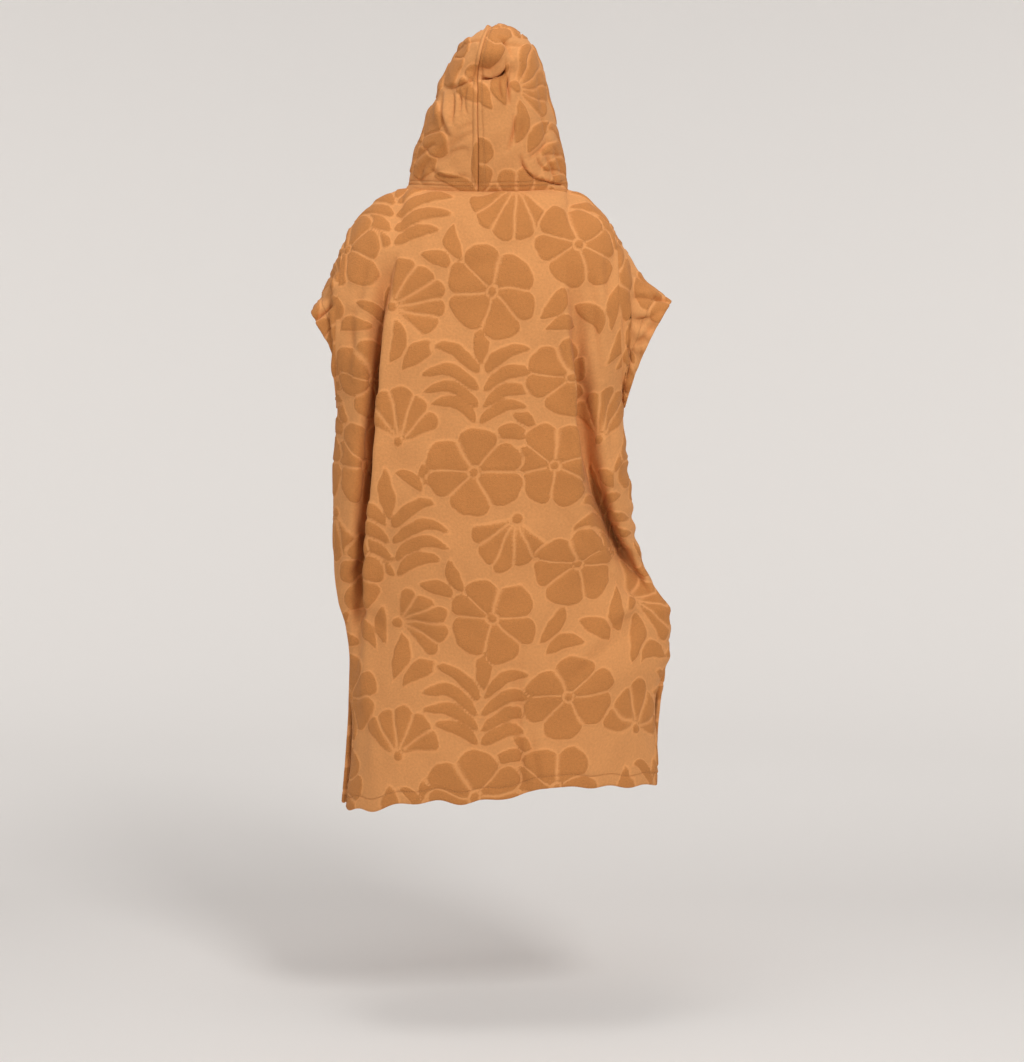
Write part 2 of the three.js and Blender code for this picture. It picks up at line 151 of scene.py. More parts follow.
# Folds of the body. Each is a trough along a line of places, with its depth at each. Inner and
# outer are its widths towards the middle and the side seam, and lean is how far the edge on the
# inner side leans out over it.
FOLD_COLUMNS = "z x depth inner outer lean"
FOLD_ROWS = {
    "back": [
        [
            (-110, 160, 0, 8, 18, 0),
            (-190, 165, 26, 6, 17, 8),
            (-280, 173, 50, 6, 16, 15),
            (-450, 187, 62, 6, 16, 15),
            (-600, 202, 56, 6, 16, 15),
            (-690, 210, 38, 7, 16, 11),
            (-790, 222, 16, 9, 16, 4),
            (-930, 232, 0, 12, 18, 0),
        ],
        [
            (-130, -142, 0, 9, 24, 0),
            (-240, -144, 24, 8, 24, 6),
            (-360, -148, 48, 7, 24, 13),
            (-450, -159, 58, 8, 24, 11),
            (-510, -178, 66, 13, 14, 2),
            (-560, -197, 68, 17, 10, 0),
            (-615, -220, 64, 20, 8, 0),
            (-665, -250, 50, 20, 8, 0),
            (-740, -284, 0, 24, 10, 0),
        ],
        [(-700, -60, 0, 70, 60, 0), (-900, -48, 8, 70, 60, 0), (-1050, -40, 16, 70, 60, 0)],
    ],
    "front": [
        [
            (-140, 150, 0, 40, 48, 0),
            (-300, 160, 26, 36, 44, 0),
            (-460, 174, 34, 32, 40, 0),
            (-590, 200, 28, 36, 44, 0),
            (-700, 225, 0, 40, 48, 0),
        ],
        [
            (-130, -136, 0, 40, 48, 0),
            (-300, -144, 26, 36, 44, 0),
            (-460, -162, 36, 32, 40, 0),
            (-600, -200, 30, 36, 44, 0),
            (-710, -240, 0, 40, 48, 0),
        ],
        [
            (-330, 34, 0, 50, 56, 0),
            (-620, 42, 16, 50, 56, 0),
            (-900, 58, 24, 50, 56, 0),
            (-1050, 66, 28, 50, 56, 0),
        ],
        [(-420, -78, 0, 46, 54, 0), (-700, -96, 16, 46, 54, 0), (-1050, -120, 26, 46, 54, 0)],
    ],
}
FOLDS = {face: [Table(FOLD_COLUMNS, rows) for rows in lines] for face, lines in FOLD_ROWS.items()}
# How far the back's side walls are drawn in at the vents, so that the front shows past them.
VENT_PULL = Table(
    "z left right",
    [(-1080, 8, 0), (-980, 11, 1), (-930, 10, 8), (-892, 7, 11), (-862, 2, 6), (-842, 0, 0)],
)
VENT_SIDE = {"from": 0.5, "over": 0.22}  # where the pull grows, in half widths of the panel
# The right side seam puckers between the armhole and the vent.
SEAM_WAVE = {"top": -400, "foot": -870, "side": 0.6, "length": 25, "height": 2}
SEAM_FADE = {"top": 60, "foot": 40}
EDGE_SEED = 11  # of the ripples along the side seam and the lower edges
# The cloth beside a narrow fold stands proud before it drops in, and its edge leans over the
# trough. Away and width are in widths of the fold, and full is the lean of the narrowest one.
FOLD_ROLL = {"height": 3, "away": 2.2, "width": 1.1, "full": 12}
FOLD_EDGE = {"away": 2, "width": 1.25}

# The shoulder seams, each with the x and z of its bend and of its tip.
SHOULDER = {
    "left": {"bend": (205, -9), "tip": (243, -88)},
    "right": {"bend": (-182, -8), "tip": (-222, -78)},
}

# Sleeves. Each cuff is a bent oval that follows a curve from its top to its foot, and out is the
# way its cloth points at the top. Towards the foot the oval is narrower and its cloth points
# straight out.
ARMHOLE_GAP = {"top": 1.2, "foot": 2}
ARMHOLE_LOW = (0.55, 1)  # shares of the armhole's height where a sleeve turns straight out
CUFF_FOOT = {"narrower": 0.5, "out": (1, 0, -0.35), "from": 0.71}
SLEEVE_BEND = 0.3  # part of a sleeve's length that keeps the way it leaves or arrives
CUFF_WAVE = {"length": 27, "height": 2.2}
FOOT_CLEAR = 5  # columns at each side of a cuff's foot that have no stitches
CUFFS = {
    "left": {
        "curve": [(296, 4, -202), (299, 2, -230), (258, 0, -258), (250, 0, -290), (253, -3, -370)],
        "half": 66,
        "out": (0.6, 0, -0.8),
    },
    "right": {
        "curve": [(-313, 4, -192), (-257, 0, -274), (-235, -3, -372)],
        "half": 68,
        "out": (-0.78, 0, -0.62),
    },
}

# Sections of the hood from the neck to the forehead. Half is half the width, and face the angle
# in degrees between straight ahead and the face edge. Lean is the shift to the left side, and
# twist how far in degrees the seam turns.
HOOD = Table(
    "q backY backZ sideZ frontY frontZ half face",
    [
        (0, 75, -10, 0, -84, -52, 137, 3),
        (0.16, 91, 40, 48, -104, 12, 127, 24),
        (0.33, 102, 94, 98, -116, 86, 115, 43),
        (0.49, 107, 146, 147, -117, 146, 100, 57),
        (0.64, 107, 198, 195, -110, 196, 84, 63),
        (0.77, 94, 239, 231, -98, 230, 69, 62),
        (0.88, 56, 267, 254, -88, 251, 51, 55),
        (0.95, 4, 276, 266, -82, 259, 29, 48),
        (1, -44, 272, 270, -78, 264, 0, 45),
    ],
)
HOOD_TURN = Table(
    "q lean twist",
    [(0, 0, 6), (0.16, -2, 7), (0.49, -8, 13), (0.64, -12, 17), (0.88, -18, 14), (1, -24, 12)],
)
FACE_TWIST = 0.2  # part of the twist that reaches the face edge
HOOD_ROUND = 0.3  # part of the hood's height over which its sections become round
# The deep level crease across the back of the hood, and the lip above it.
HOOD_CREASE = {"x": -8, "z": 188, "half": 34, "depth": 24, "height": 15}
HOOD_LIP = {"z": 221, "depth": -9, "height": 24}


def unit(vectors):
    """Vectors of length one."""
    return vectors / np.maximum(np.linalg.norm(vectors, axis=-1, keepdims=True), 1e-12)


def fold_depth(face, x, z):
    """How far the folds of one face push its wall inwards at some places."""
    depth = np.zeros(np.broadcast(x, z).shape)
    for line in FOLDS[face]:
        low, high = line.ends()
        path, here, inner = (line.read(name, z) for name in ("x", "depth", "inner"))
        outwards = (x - path) * np.sign(path)
        width = np.where(outwards < 0, inner, line.read("outer", z))
        inside = (z <= high) & ((z >= low) | (line.read("depth", low) > 0))
        past = np.where(outwards < 0, outwards, np.maximum(0, outwards - TROUGH))
        trough = here * np.exp(-((past / width) ** 2))
        beside = (outwards + FOLD_ROLL["away"] * inner) / (FOLD_ROLL["width"] * inner)
        narrow = np.clip(line.read("lean", z) / FOLD_ROLL["full"], 0, 1)
        roll = FOLD_ROLL["height"] * narrow * np.exp(-(beside**2))
        depth += np.where(inside, trough - roll, 0)
    return depth


def fold_lean(face, x, z):
    """How far the edges of the folds lean over their troughs, along x."""
    shift = np.zeros(np.broadcast(x, z).shape)
    for line in FOLDS[face]:
        path, inner = line.read("x", z), line.read("inner", z)
        outwards = (x - path) * np.sign(path)
        past = (outwards + FOLD_EDGE["away"] * inner) / (FOLD_EDGE["width"] * inner)
        shift += np.sign(path) * line.read("lean", z) * np.exp(-(past**2))
    return shift


def section(face, u, z):
    """Level sections of one body panel. u runs from -1 at the right edge to 1 at the left."""
    square = BODY.read("square", z)
    deepest = BODY.read(face, z)
    vent = VENT_HALF_GAP / deepest * eased((VENT_TOP - z) / VENT_FADE)
    edge = QUARTER * BODY.read("cover", z)
    angle = u * (edge - vent)
    reach = np.sin(edge) + square * np.sin(3 * edge)
    across = (np.sin(angle) + square * np.sin(3 * angle)) / reach
    deep = (np.cos(angle) - square * np.cos(3 * angle)) / (1 - square)
    x = across * np.where(u > 0, BODY.read("left", z), BODY.read("right", z))
    wall = deep * deepest
    depth = wall - fold_depth(face, x, z) * np.clip(wall / FOLD_ROOM, 0, 1)
    loose = eased((SEAM_WAVE["top"] - z) / SEAM_FADE["top"])
    loose = loose * eased((z - SEAM_WAVE["foot"]) / SEAM_FADE["foot"])
    loose = loose * eased((-u - SEAM_WAVE["side"]) / (1 - SEAM_WAVE["side"]))
    x = x - SEAM_WAVE["height"] * loose * rippled(z, 0 * z, EDGE_SEED, SEAM_WAVE["length"])
    if face == "front":
        return x, -depth
    pull = np.where(u > 0, VENT_PULL.read("left", z), VENT_PULL.read("right", z))
    grown = eased((np.abs(u) - VENT_SIDE["from"]) / VENT_SIDE["over"])
    return x - np.sign(u) * pull * grown, depth


def neckline(angle):
    """The neckline at an angle from the middle of the back, which is also the hood's foot."""
    turn = np.cos(angle)
    reach = np.abs(turn) ** NECK_POINT

    def read(name):
        return HOOD.read(name, 0)

    y = np.where(turn > 0, read("backY"), read("frontY")) * reach
    z = np.where(turn > 0, read("backZ"), read("frontZ")) * turn * turn
    return np.stack([read("half") * np.sin(angle), y, z], -1)


def top_edge(face, u):
    """The top edge of one body panel: half of the neckline, and the shoulder seams beside it."""
    side = np.where(u < 0, -1.0, 1.0)
    turn = side * np.clip(np.abs(u) / NECK_SHARE, 0, 1) * QUARTER
    neck = neckline(turn if face == "back" else math.pi - turn)
    t = np.clip((np.abs(u) - NECK_SHARE) / (1 - NECK_SHARE), 0, 1)

    def bezier(start, bend, end):
        return start * (1 - t) ** 2 + 2 * bend * t * (1 - t) + end * t * t

    def either(name, axis):
        return np.where(side > 0, SHOULDER["left"][name][axis], SHOULDER["right"][name][axis])

    x = bezier(side * HOOD.read("half", 0), either("bend", 0), either("tip", 0))
    z = bezier(0, either("bend", 1), either("tip", 1))
    seam = np.stack([x, np.zeros_like(x), z], -1)
    return np.where((np.abs(u) < NECK_SHARE)[..., None], neck, seam)


def body_place(face, u, v):
    """Points of a body panel. v runs from 0 at the shoulder to 1 at the hem."""
    turn = np.clip(v / UPPER_SHARE, 0, 1) * QUARTER
    down = np.clip((v - UPPER_SHARE) / (1 - UPPER_SHARE), 0, 1)
    x, y = section(face, u, mix(CHEST, HEM_LEVEL, down))
    below = np.stack([x, y, mix(CHEST, HEM_LINE.read(face, u), down)], -1)
    top = top_edge(face, u)
    z = mix(top[..., 2], CHEST, 1 - np.cos(turn))
    fold = fold_depth(face, x, z) - fold_depth(face, x, CHEST + 0 * z)
    inwards = -fold if face == "back" else fold
    above = np.stack(
        [
            mix(top[..., 0], x, 1 - np.cos(turn)),
            mix(top[..., 1], y + inwards, np.sin(turn)),
            z,
        ],
        -1,
    )
    points = np.where((v < UPPER_SHARE)[..., None], above, below)
    room = np.clip(np.abs(points[..., 1]) / FOLD_ROOM, 0, 1)
    points[..., 0] += fold_lean(face, points[..., 0], points[..., 2]) * eased(room * 2)
    return points


def share_at(level):
    """Share of a body panel's length at a level below the chest."""
    return mix(UPPER_SHARE, 1, (level - CHEST) / (HEM_LEVEL - CHEST))


def sleeve_place(side, turn, along):
    """Points of a sleeve. turn runs round it from the underarm by the back, along to the cuff."""
    sign = 1 if side == "left" else -1
    u = sign * (1 - SEAM_GAP / HALF_WIDTH) + 0 * turn
    angle = turn * 2 * math.pi
    share = (1 + np.cos(angle)) / 2
    v = share_at(UNDERARM) * share

    def armhole(at):
        behind = (turn % 1 < 0.5)[..., None]
        return np.where(behind, body_place("back", at, v), body_place("front", at, v))

    start = armhole(u)
    leaving = unit(start - armhole(u * 0.995))
    low = eased((share - ARMHOLE_LOW[0]) / (ARMHOLE_LOW[1] - ARMHOLE_LOW[0]))[..., None]
    leaving = unit(mix(leaving, np.array([sign, 0, 0]), low))
    start = start + leaving * mix(ARMHOLE_GAP["top"], ARMHOLE_GAP["foot"], low)
    cuff = CUFFS[side]
    s = share[..., None]
    bends = len(cuff["curve"]) - 1
    end = sum(
        math.comb(bends, k) * s**k * (1 - s) ** (bends - k) * np.array(point, float)
        for k, point in enumerate(cuff["curve"])
    )
    end[..., 1] += cuff["half"] * np.sin(angle) * mix(1, CUFF_FOOT["narrower"], share)
    length = np.linalg.norm(end - start, axis=-1, keepdims=True)
    straight = np.array(CUFF_FOOT["out"]) * np.array([sign, 1, 1])
    hanging = unit(mix(np.array(cuff["out"]), straight, np.clip(s / CUFF_FOOT["from"], 0, 1)))
    leave = start + leaving * length * SLEEVE_BEND
    arrive = end - hanging * length * SLEEVE_BEND
    a = along[..., None]
    near = start * (1 - a) ** 3 + 3 * leave * a * (1 - a) ** 2
    return near + 3 * arrive * a * a * (1 - a) + end * a**3


def hood_place(side, p, q):
    """Points of half the hood. p runs from the middle seam to the face edge, q from the neck."""
    sign = 1 if side == "left" else -1
    face = np.radians(HOOD.read("face", q))
    twist = np.radians(HOOD_TURN.read("twist", q)) * mix(1, FACE_TWIST, p)
    angle = sign * p * (math.pi - face) + twist
    turn = np.cos(angle)
    grown = eased(q / HOOD_ROUND)
    power = mix(NECK_POINT, 1, grown)
    back_y, front_y = HOOD.read("backY", q), HOOD.read("frontY", q)
    middle = mix(0, (back_y + front_y) / 2, grown)
    shape = np.sign(turn) * np.abs(turn) ** power
    behind = middle + (back_y - middle) * shape
    ahead = middle - (front_y - middle) * shape / mix(1, np.cos(face) ** power, grown)
    side_z = HOOD.read("sideZ", q)
    steep = np.where(turn > 0, 1, 1 / mix(1, np.cos(face) ** 2, grown))
    edge_z = np.where(turn > 0, HOOD.read("backZ", q), HOOD.read("frontZ", q))
    x = HOOD_TURN.read("lean", q) + HOOD.read("half", q) * np.sin(angle)
    z = side_z + (edge_z - side_z) * turn * turn * steep
    across = np.exp(-(((x - HOOD_CREASE["x"]) / HOOD_CREASE["half"]) ** 2))

    def level(dent):
        return dent["depth"] * np.exp(-(((z - dent["z"]) / dent["height"]) ** 2))

    dent = across * (level(HOOD_CREASE) + level(HOOD_LIP)) * np.clip(turn * 2, 0, 1)
    y = np.where(turn > 0, behind, ahead) - dent
    return np.stack([x, y, z + NECK_LIFT * (1 - q)], -1)


# Creases. Each runs from one place to another, as seen from behind, and bows to one side. The
# cloth sinks by its depth along it and stands up in a lip beside it, on the side that lip gives.
CREASES = {
    "hood": [
        # x, z, x, z, bow, depth, width, lip
        (16, 180, -33, 193, -3, 20, 4.5, 0.9),
        (16, 180, 64, 165, 3, 7, 4.5, -1.0),
        (64, 212, 34, 242, 6, 7, 4.5, 0.8),
        (38, 240, 4, 242, 3, 9, 3.5, 0.8),
        (15, 236, -6, 266, 0, 7, 4, -0.8),
        (-10, 252, -44, 206, 9, 6, 4.5, 0.8),
        (-2, 258, -60, 232, -6, 4, 4, 0.8),
        (-34, 187, -38, 132, 2, 6.5, 4, 0.9),
        (-24, 176, -27, 140, -2, 4, 3, 0.9),
        (30, 160, 33, 118, -3, 4, 3.2, 0.9),
        (44, 160, 46, 116, 3, 4.5, 3.5, 0.9),
        (56, 158, 58, 100, 4, 5, 3.5, 0.9),
        (75, 162, 62, 82, -4, 7, 4.5, 0.9),
        (-46, 118, -34, 54, 6, 6, 4, 0.9),
        (-58, 110, -52, 66, 4, 3.5, 4, 0.7),
        (98, 26, 22, 88, 10, 6, 6.5, 0.7),
        (80, 44, 30, 62, 5, 4, 5, 0.7),
        (120, 44, 84, 74, 4, 5, 5, 0.8),
        (114, 8, 92, 52, 4, 5, 5, 0.8),
        (94, 30, 34, 16, -7, 4.5, 5, 0.8),
        (66, 70, 22, 104, 5, 3, 5, 0.6),
        (-58, 54, -94, 8, -8, 8, 4.5, 0.9),
        (-106, 82, -70, 46, 4, 6.5, 4.5, 0.9),
        (-100, 56, -117, 10, 3, 7, 4, 0.9),
        (-112, 70, -133, 14, 2, 5.5, 4, 0.9),
        (-84, 52, -106, 26, -3, 5, 3.5, 0.9),
        (-72, 28, -130, 8, -6, 6, 4, 0.9),
        (-92, 120, -100, 78, 2, 4, 4, 0.7),
        (88, 206, 90, 112, 2, 4, 5, 0.6),
        (-86, 200, -98, 120, -2, 3.5, 5, 0.6),
    ],
    "back": [
        (228, -205, 236, -330, 4, 5, 8, 0.8),
        (203, -120, 232, -230, 6, 4, 9, 0.6),
        (-204, -110, -220, -240, -6, 5, 9, -0.6),
        (-178, -150, -196, -330, -4, 6, 10, 0.7),
        (-206, -330, -214, -470, 3, 6, 9, 0.8),
        (-120, -540, -262, -690, -6, 5, 13, 0.8),
        (-190, -640, -280, -704, -4, 5, 9, 0.8),
        (-196, -760, -292, -712, 4, 5, 11, 0.8),
        (-120, -860, -288, -726, 10, 4, 14, 0.6),
        (250, -690, 190, -610, 5, 5, 10, 0.8),
        (252, -700, 170, -760, 6, 4, 12, 0.7),
        (246, -730, 214, -930, -8, 4, 12, 0.6),
        (-66, -1040, -56, -780, 6, 6, 9, -0.9),
        (-96, -1036, -74, -900, 4, 4, 8, -0.9),
        (60, -150, -40, -128, 6, 2, 14, 0.5),
    ],
    "front": [
        (120, -120, 30, -250, 8, 4, 12, 0.7),
        (-120, -120, -30, -250, -8, 4, 12, 0.7),
        (250, -700, 150, -640, 5, 5, 12, 0.8),
        (250, -710, 140, -800, 5, 4, 13, 0.7),
        (-286, -706, -160, -640, 5, 6, 12, 0.8),
        (-290, -716, -150, -820, 6, 5, 13, 0.7),
    ],
    "left_sleeve": [
        (246, -118, 300, -200, 5, 6, 6, 0.8),
        (258, -196, 300, -226, 4, 7, 5, 0.9),
        (262, -262, 294, -244, 3, 6, 5, 0.9),
        (272, -150, 292, -176, 2, 4, 5, 0.8),
    ],
    "right_sleeve": [
        (-246, -184, -312, -192, 4, 8, 5, 0.9),
        (-240, -140, -300, -176, 6, 6, 6, 0.8),
        (-246, -222, -298, -206, -4, 7, 5, 0.9),
        (-244, -268, -284, -226, -5, 7, 6, 0.8),
        (-248, -330, -262, -268, -3, 5, 5, 0.8),
    ],
}
LIP_AWAY = 1.6  # how many widths a crease's lip is away from it
LIP_WIDTH = 1.25  # how many widths of its crease a lip is wide
LIP_HEIGHT = 0.5  # how high a full lip stands, as a part of its crease's depth
LIP_LEAN = 0.5  # how far a lip leans over its crease, as a part of its depth
CREASE_ENDS = 0.6  # below 1 a crease keeps its depth for longer towards its ends


def creased(creases, points):
    """How far the creases move the cloth outwards at some places, and sideways in x and z."""
    x, z = points[..., 0], points[..., 2]
    push = np.zeros_like(x)
    slump = np.zeros((*x.shape, 2))
    for x0, z0, x1, z1, bow, depth, width, lip in creases:
        length = math.hypot(x1 - x0, z1 - z0)
        dx, dz = (x1 - x0) / length, (z1 - z0) / length
        run = ((x - x0) * dx + (z - z0) * dz) / length
        across = (x - x0) * dz - (z - z0) * dx - 4 * bow * run * (1 - run)
        taper = np.sin(math.pi * np.clip(run, 0, 1)) ** CREASE_ENDS
        valley = np.exp(-((across / width) ** 2))
        beside = (across - np.sign(lip) * LIP_AWAY * width) / (LIP_WIDTH * width)
        beside = np.exp(-(beside**2))
        push += taper * depth * (LIP_HEIGHT * abs(lip) * beside - valley)
        over = -LIP_LEAN * lip * taper * depth * beside
        slump += over[..., None] * np.array([dz, -dx])
    return push, slump


def rippled(s, t, seed, length):
    """Soft uneven ripples, about a length apart and one high."""
    chance = np.random.default_rng(seed)
    total = np.zeros_like(s)
    for _ in range(9):
        turn, phase = chance.uniform(0, 2 * math.pi, 2)
        wave = length * chance.uniform(0.7, 1.6)
        across = s * math.sin(turn) - t * math.cos(turn)
        bent = 0.9 * np.sin(across / wave / 0.8 + phase)
        way = s * math.cos(turn) + t * math.sin(turn)
        total += np.sin(way * 2 * math.pi / wave + phase + bent)
    return total / 3


# The pile pattern. Lengths are in millimetres on the flat cloth. The design is one repeat of
# plain flowers, arching sprays, fans and leaf pairs, and every motif is worked out by formula.
REPEAT = (416, 567)
FAR = 99.0  # stands for no edge near by
MOTIFS = [
    # kind, x, y, turn in degrees, size
    ("flower", 62, 480, 12, 0.92),
    ("flower", 225, 325, 5, 0.98),
    ("flower", 87, 331, 40, 0.9),
    ("flower", 47, 142, 22, 0.94),
    ("flower", 195, 62, 50, 0.96),
    ("spray", 214, 491, 2, 0.95),
    ("spray", 370, 223, -4, 0.98),
    ("fan", 352, 414, 6, 0.95),
    ("fan", 166, 202, 196, 0.98),
    ("fan", 323, 53, 68, 0.98),
    ("leaves", 336, 535, 30, 0.95),
    ("leaves", 155, 406, -62, 0.85),
    ("leaves", 79, 25, 62, 0.85),
    ("leaves", 410, 32, -24, 0.9),
    ("leaves", 319, 316, -30, 0.7),
    ("leaves", 274, 134, -40, 0.8),
]


def flower(x, y):
    """Six broad petals round a small disc."""
    r = np.hypot(x, y)
    a = np.arctan2(y, x)
    a = a + 0.15 * np.sin(2 * a + 0.6) + 0.05 * np.sin(3 * a)
    petal = np.abs((a * 3 / math.pi + 0.5) % 1 - 0.5) * 2
    reach = 80 + 5 * np.sin(2 * a + 1) - 20 * (1 - petal) ** 4
    outline = np.minimum(reach - r, r - 13.5)
    split = r * np.sin(3 * a) / 3
    return np.maximum(outline, 7.5 - r), np.where(r < 10.5, FAR, split / (1 + r / 120))


def spray(x, y):
    """Arching leaves on both sides of a stem, with an upright leaf on top."""
    side = np.abs(x)
    outline = np.full(np.shape(x), -FAR)
    for base, reach, arch in ((-84, 84, 0.95), (-58, 104, 1.0), (-28, 106, 1.02), (4, 84, 1.1)):
        run = np.clip((side - 3.5) / (reach - 3.5), 0, 1)
        curve = base + arch * side - 0.0076 * side**2
        lean = np.sqrt(1 + (arch - 0.0152 * side) ** 2)
        thick = 11.5 * np.sin(math.pi * run**0.72) ** 0.55
        end = np.minimum(side - 3, reach - side)
        outline = np.maximum(outline, np.minimum(thick - np.abs(y - curve) / lean, end))
    tall = 14.5 * (1 - ((y - 62) / 46) ** 2)
    above = np.maximum(np.minimum(outline, side - tall - 4), tall - side)
    return np.where(y > 12, above, outline), np.full(np.shape(x), FAR)


def fan(x, y):
    """Half a blossom: five long petals that open from a small disc."""
    y = y + 44
    r = np.hypot(x, y)
    a = np.arctan2(x, y)
    width = math.radians(26)
    petal = np.abs((a / width + 0.5) % 1 - 0.5) * 2
    reach = 98 - 10 * petal**3 - 14 * np.abs(a)
    outline = np.minimum(np.minimum(reach - r, r - 14.5), (math.radians(64) - np.abs(a)) * r)
    split = r * np.cos(math.pi * a / width) * width / math.pi
    return np.maximum(outline, 8 - r), np.where(r < 11, FAR, split / (1 + r / 150))


def leaves(x, y):
    """A pair of bent leaves that lean away from each other."""
    outline = np.full(np.shape(x), -FAR)
    for lean, shift in ((0.42, 20), (-0.42, -19)):
        along = y * math.cos(lean) + (x - shift) * math.sin(lean)
        across = (x - shift) * math.cos(lean) - y * math.sin(lean)
        bent = across - np.sign(lean) * 0.006 * along**2
        outline = np.maximum(outline, 15 * (1 - (along / 42) ** 2) - np.abs(bent))
    return outline, np.full(np.shape(x), FAR)


SHAPES = {"flower": flower, "spray": spray, "fan": fan, "leaves": leaves}
PETAL_GAP = 1.9  # half of the gap between two petals
MOTIF_GAP = 6.5  # a motif is cut back this far from the ones before it
PILE_SLOPE = 1.6  # half of the width over which the pile rises at a motif's edge
DRIFT = 2.6  # how far the pattern wanders from its drawn place


def pile_fields(s, t):
    """How far inside a motif each place of the cloth lies, and how far from a petal's gap."""
    s = s + DRIFT * rippled(s, t, 3, 74)
    t = t + DRIFT * rippled(s, t, 4, 82)
    uneven = 0.9 * rippled(s, t, 5, 26)
    outline = np.full(np.shape(s), -FAR)
    split = np.full(np.shape(s), FAR)
    for name, cx, cy, turn, size in MOTIFS:
        x = ((s - cx + REPEAT[0] / 2) % REPEAT[0] - REPEAT[0] / 2) / size
        y = ((t - cy + REPEAT[1] / 2) % REPEAT[1] - REPEAT[1] / 2) / size
        c, d = math.cos(math.radians(turn)), math.sin(math.radians(turn))
        inside, gap = SHAPES[name](x * c + y * d, y * c - x * d)
        inside = np.minimum(inside, -outline - MOTIF_GAP)
        split = np.where(inside > outline, gap, split)
        outline = np.maximum(outline, inside)
    return outline + uneven, split


def pile_mask(outline, split):
    """1 on the raised pile, 0 on the ground."""
    inside = np.minimum(outline, np.abs(split) - PETAL_GAP)
    return eased((inside + PILE_SLOPE) / (2 * PILE_SLOPE))


# Building a panel of cloth.
CLOTH = 3.0  # thickness of one layer, for the places of the seams
TURN = 2.2  # radius of a seam allowance where it turns in
ALLOWANCE = 7.0  # width of the seam allowances
FOLDED = 1.65  # radius of a hem where it turns back
LINE = (0, 1.3, 3.2)  # distances of the close grid lines on either side of a stitched line
BEND_ROWS = 6  # rows of points round the bend of an edge that is turned in
FLAT_ROWS = 3  # rows of points past the bend


def spaced(length, step, lines):
    """Places from 0 to a length, about a step apart, with close ones beside stitched lines."""
    beside = [sign * gap for gap in LINE for sign in (1, -1)]
    marks = sorted({0.0, length, *(max(0, min(length, a + b)) for a in lines for b in beside)})
    places = []
    for low, high in zip(marks, marks[1:]):
        count = max(1, int(round((high - low) / step)))
        places += [mix(low, high, i / count) for i in range(count)]
    return np.array(places + [length])


def along(points, axis):
    """Distance along a grid's lines, from its first place."""
    steps = np.linalg.norm(np.diff(points, axis=axis), axis=-1)
    start = np.zeros_like(np.take(steps, [0], axis))
    return np.concatenate([start, np.cumsum(steps, axis)], axis)


def normals_of(points, facing):
    """The way each place of a grid faces."""
    across = np.gradient(points, axis=1)
    down = np.gradient(points, axis=0)
    return unit(np.cross(across, down) * facing)


def turned_in(points, normals, radius, bend, length):
    """Rows past a grid's last row: they turn in by an angle and then run straight."""
    edge, inside = points[-1], normals[-1]
    ahead = unit(points[-1] - points[-2])
    bend = np.broadcast_to(bend, edge.shape[:1]).astype(float)[:, None]
    most = radius * float(bend.max())
    ways = [most * k / BEND_ROWS for k in range(1, BEND_ROWS + 1)] if most > 0 else []
    ways += [most + length * k / FLAT_ROWS for k in range(1, FLAT_ROWS + 1)]
    rows, facings = [], []
    for way in ways:
        angle = np.minimum(way / radius, bend)
        rest = way - radius * angle
        cosine, sine = np.cos(angle), np.sin(angle)
        place = edge + radius * sine * ahead - radius * (1 - cosine) * inside
        rows.append(place + rest * (cosine * ahead - sine * inside))
        facings.append(cosine * inside + sine * ahead)
    return np.concatenate([points, rows]), np.concatenate([normals, facings])


def placed(name, data):
    """A new object in the scene."""
    made = bpy.data.objects.new(name, data)
    bpy.context.scene.collection.objects.link(made)
    return made


def grid_sheet(name, points, fields, facing, closed=False):
    """A mesh object from a grid of points in millimetres, with a cloth map and attributes."""
    rows, columns = points.shape[:2]
    form = bmesh.new()
    bmesh.ops.create_grid(form, x_segments=columns - 1, y_segments=rows - 1, size=0.5)
    if facing < 0:
        bmesh.ops.reverse_faces(form, faces=form.faces)
    mesh = bpy.data.meshes.new(name)
    form.to_mesh(mesh)
    form.free()
    flat = np.empty(len(mesh.vertices) * 3)
    mesh.vertices.foreach_get("co", flat)
    flat = flat.reshape(-1, 3)
    i = np.rint((flat[:, 0] + 0.5) * (columns - 1)).astype(int)
    j = np.rint((flat[:, 1] + 0.5) * (rows - 1)).astype(int)
    mesh.vertices.foreach_set("co", (points[j, i] * MM).ravel())
    corner = np.empty(len(mesh.loops), int)
    mesh.loops.foreach_get("vertex_index", corner)
    chart = np.stack([fields["s"][j, i], fields["t"][j, i]], -1) * MM
    mesh.uv_layers.new(name="cloth").data.foreach_set("uv", chart[corner].ravel())
    for field in ("outline", "split", "seam"):
        layer = mesh.attributes.new(field, "FLOAT", "POINT")
        layer.data.foreach_set("value", fields[field][j, i].astype(np.float32))
    if closed:
        form = bmesh.new()
        form.from_mesh(mesh)
        bmesh.ops.remove_doubles(form, verts=form.verts, dist=1e-6)
        form.to_mesh(mesh)
        form.free()
    mesh.polygons.foreach_set("use_smooth", np.ones(len(mesh.polygons), bool))
    return placed(name, mesh)


def finish_cloth(piece, node, lines):
    """Gives a panel its thickness, finish and stitches, hangs it from the root and hides the frame
    part that it stands for.
    """
    wall = piece.modifiers.new("cloth", "SOLIDIFY")
    wall.thickness = bpy.context.scene.poncho_sizes.cloth
    wall.offset = 0
    wall.material_offset = 1
    piece.data.materials.append(terry_material("sculpted_terry", True))
    piece.data.materials.append(terry_material("terry_back", False))
    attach(piece, "root")
    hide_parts(node)
    thread = stitched(piece, lines)


STITCH = {"gap": 1.2, "width": 0.75, "height": 0.7, "lift": 0.12}
STITCH_BEND = 0.9  # no stitch where its ends face ways whose product is less than this


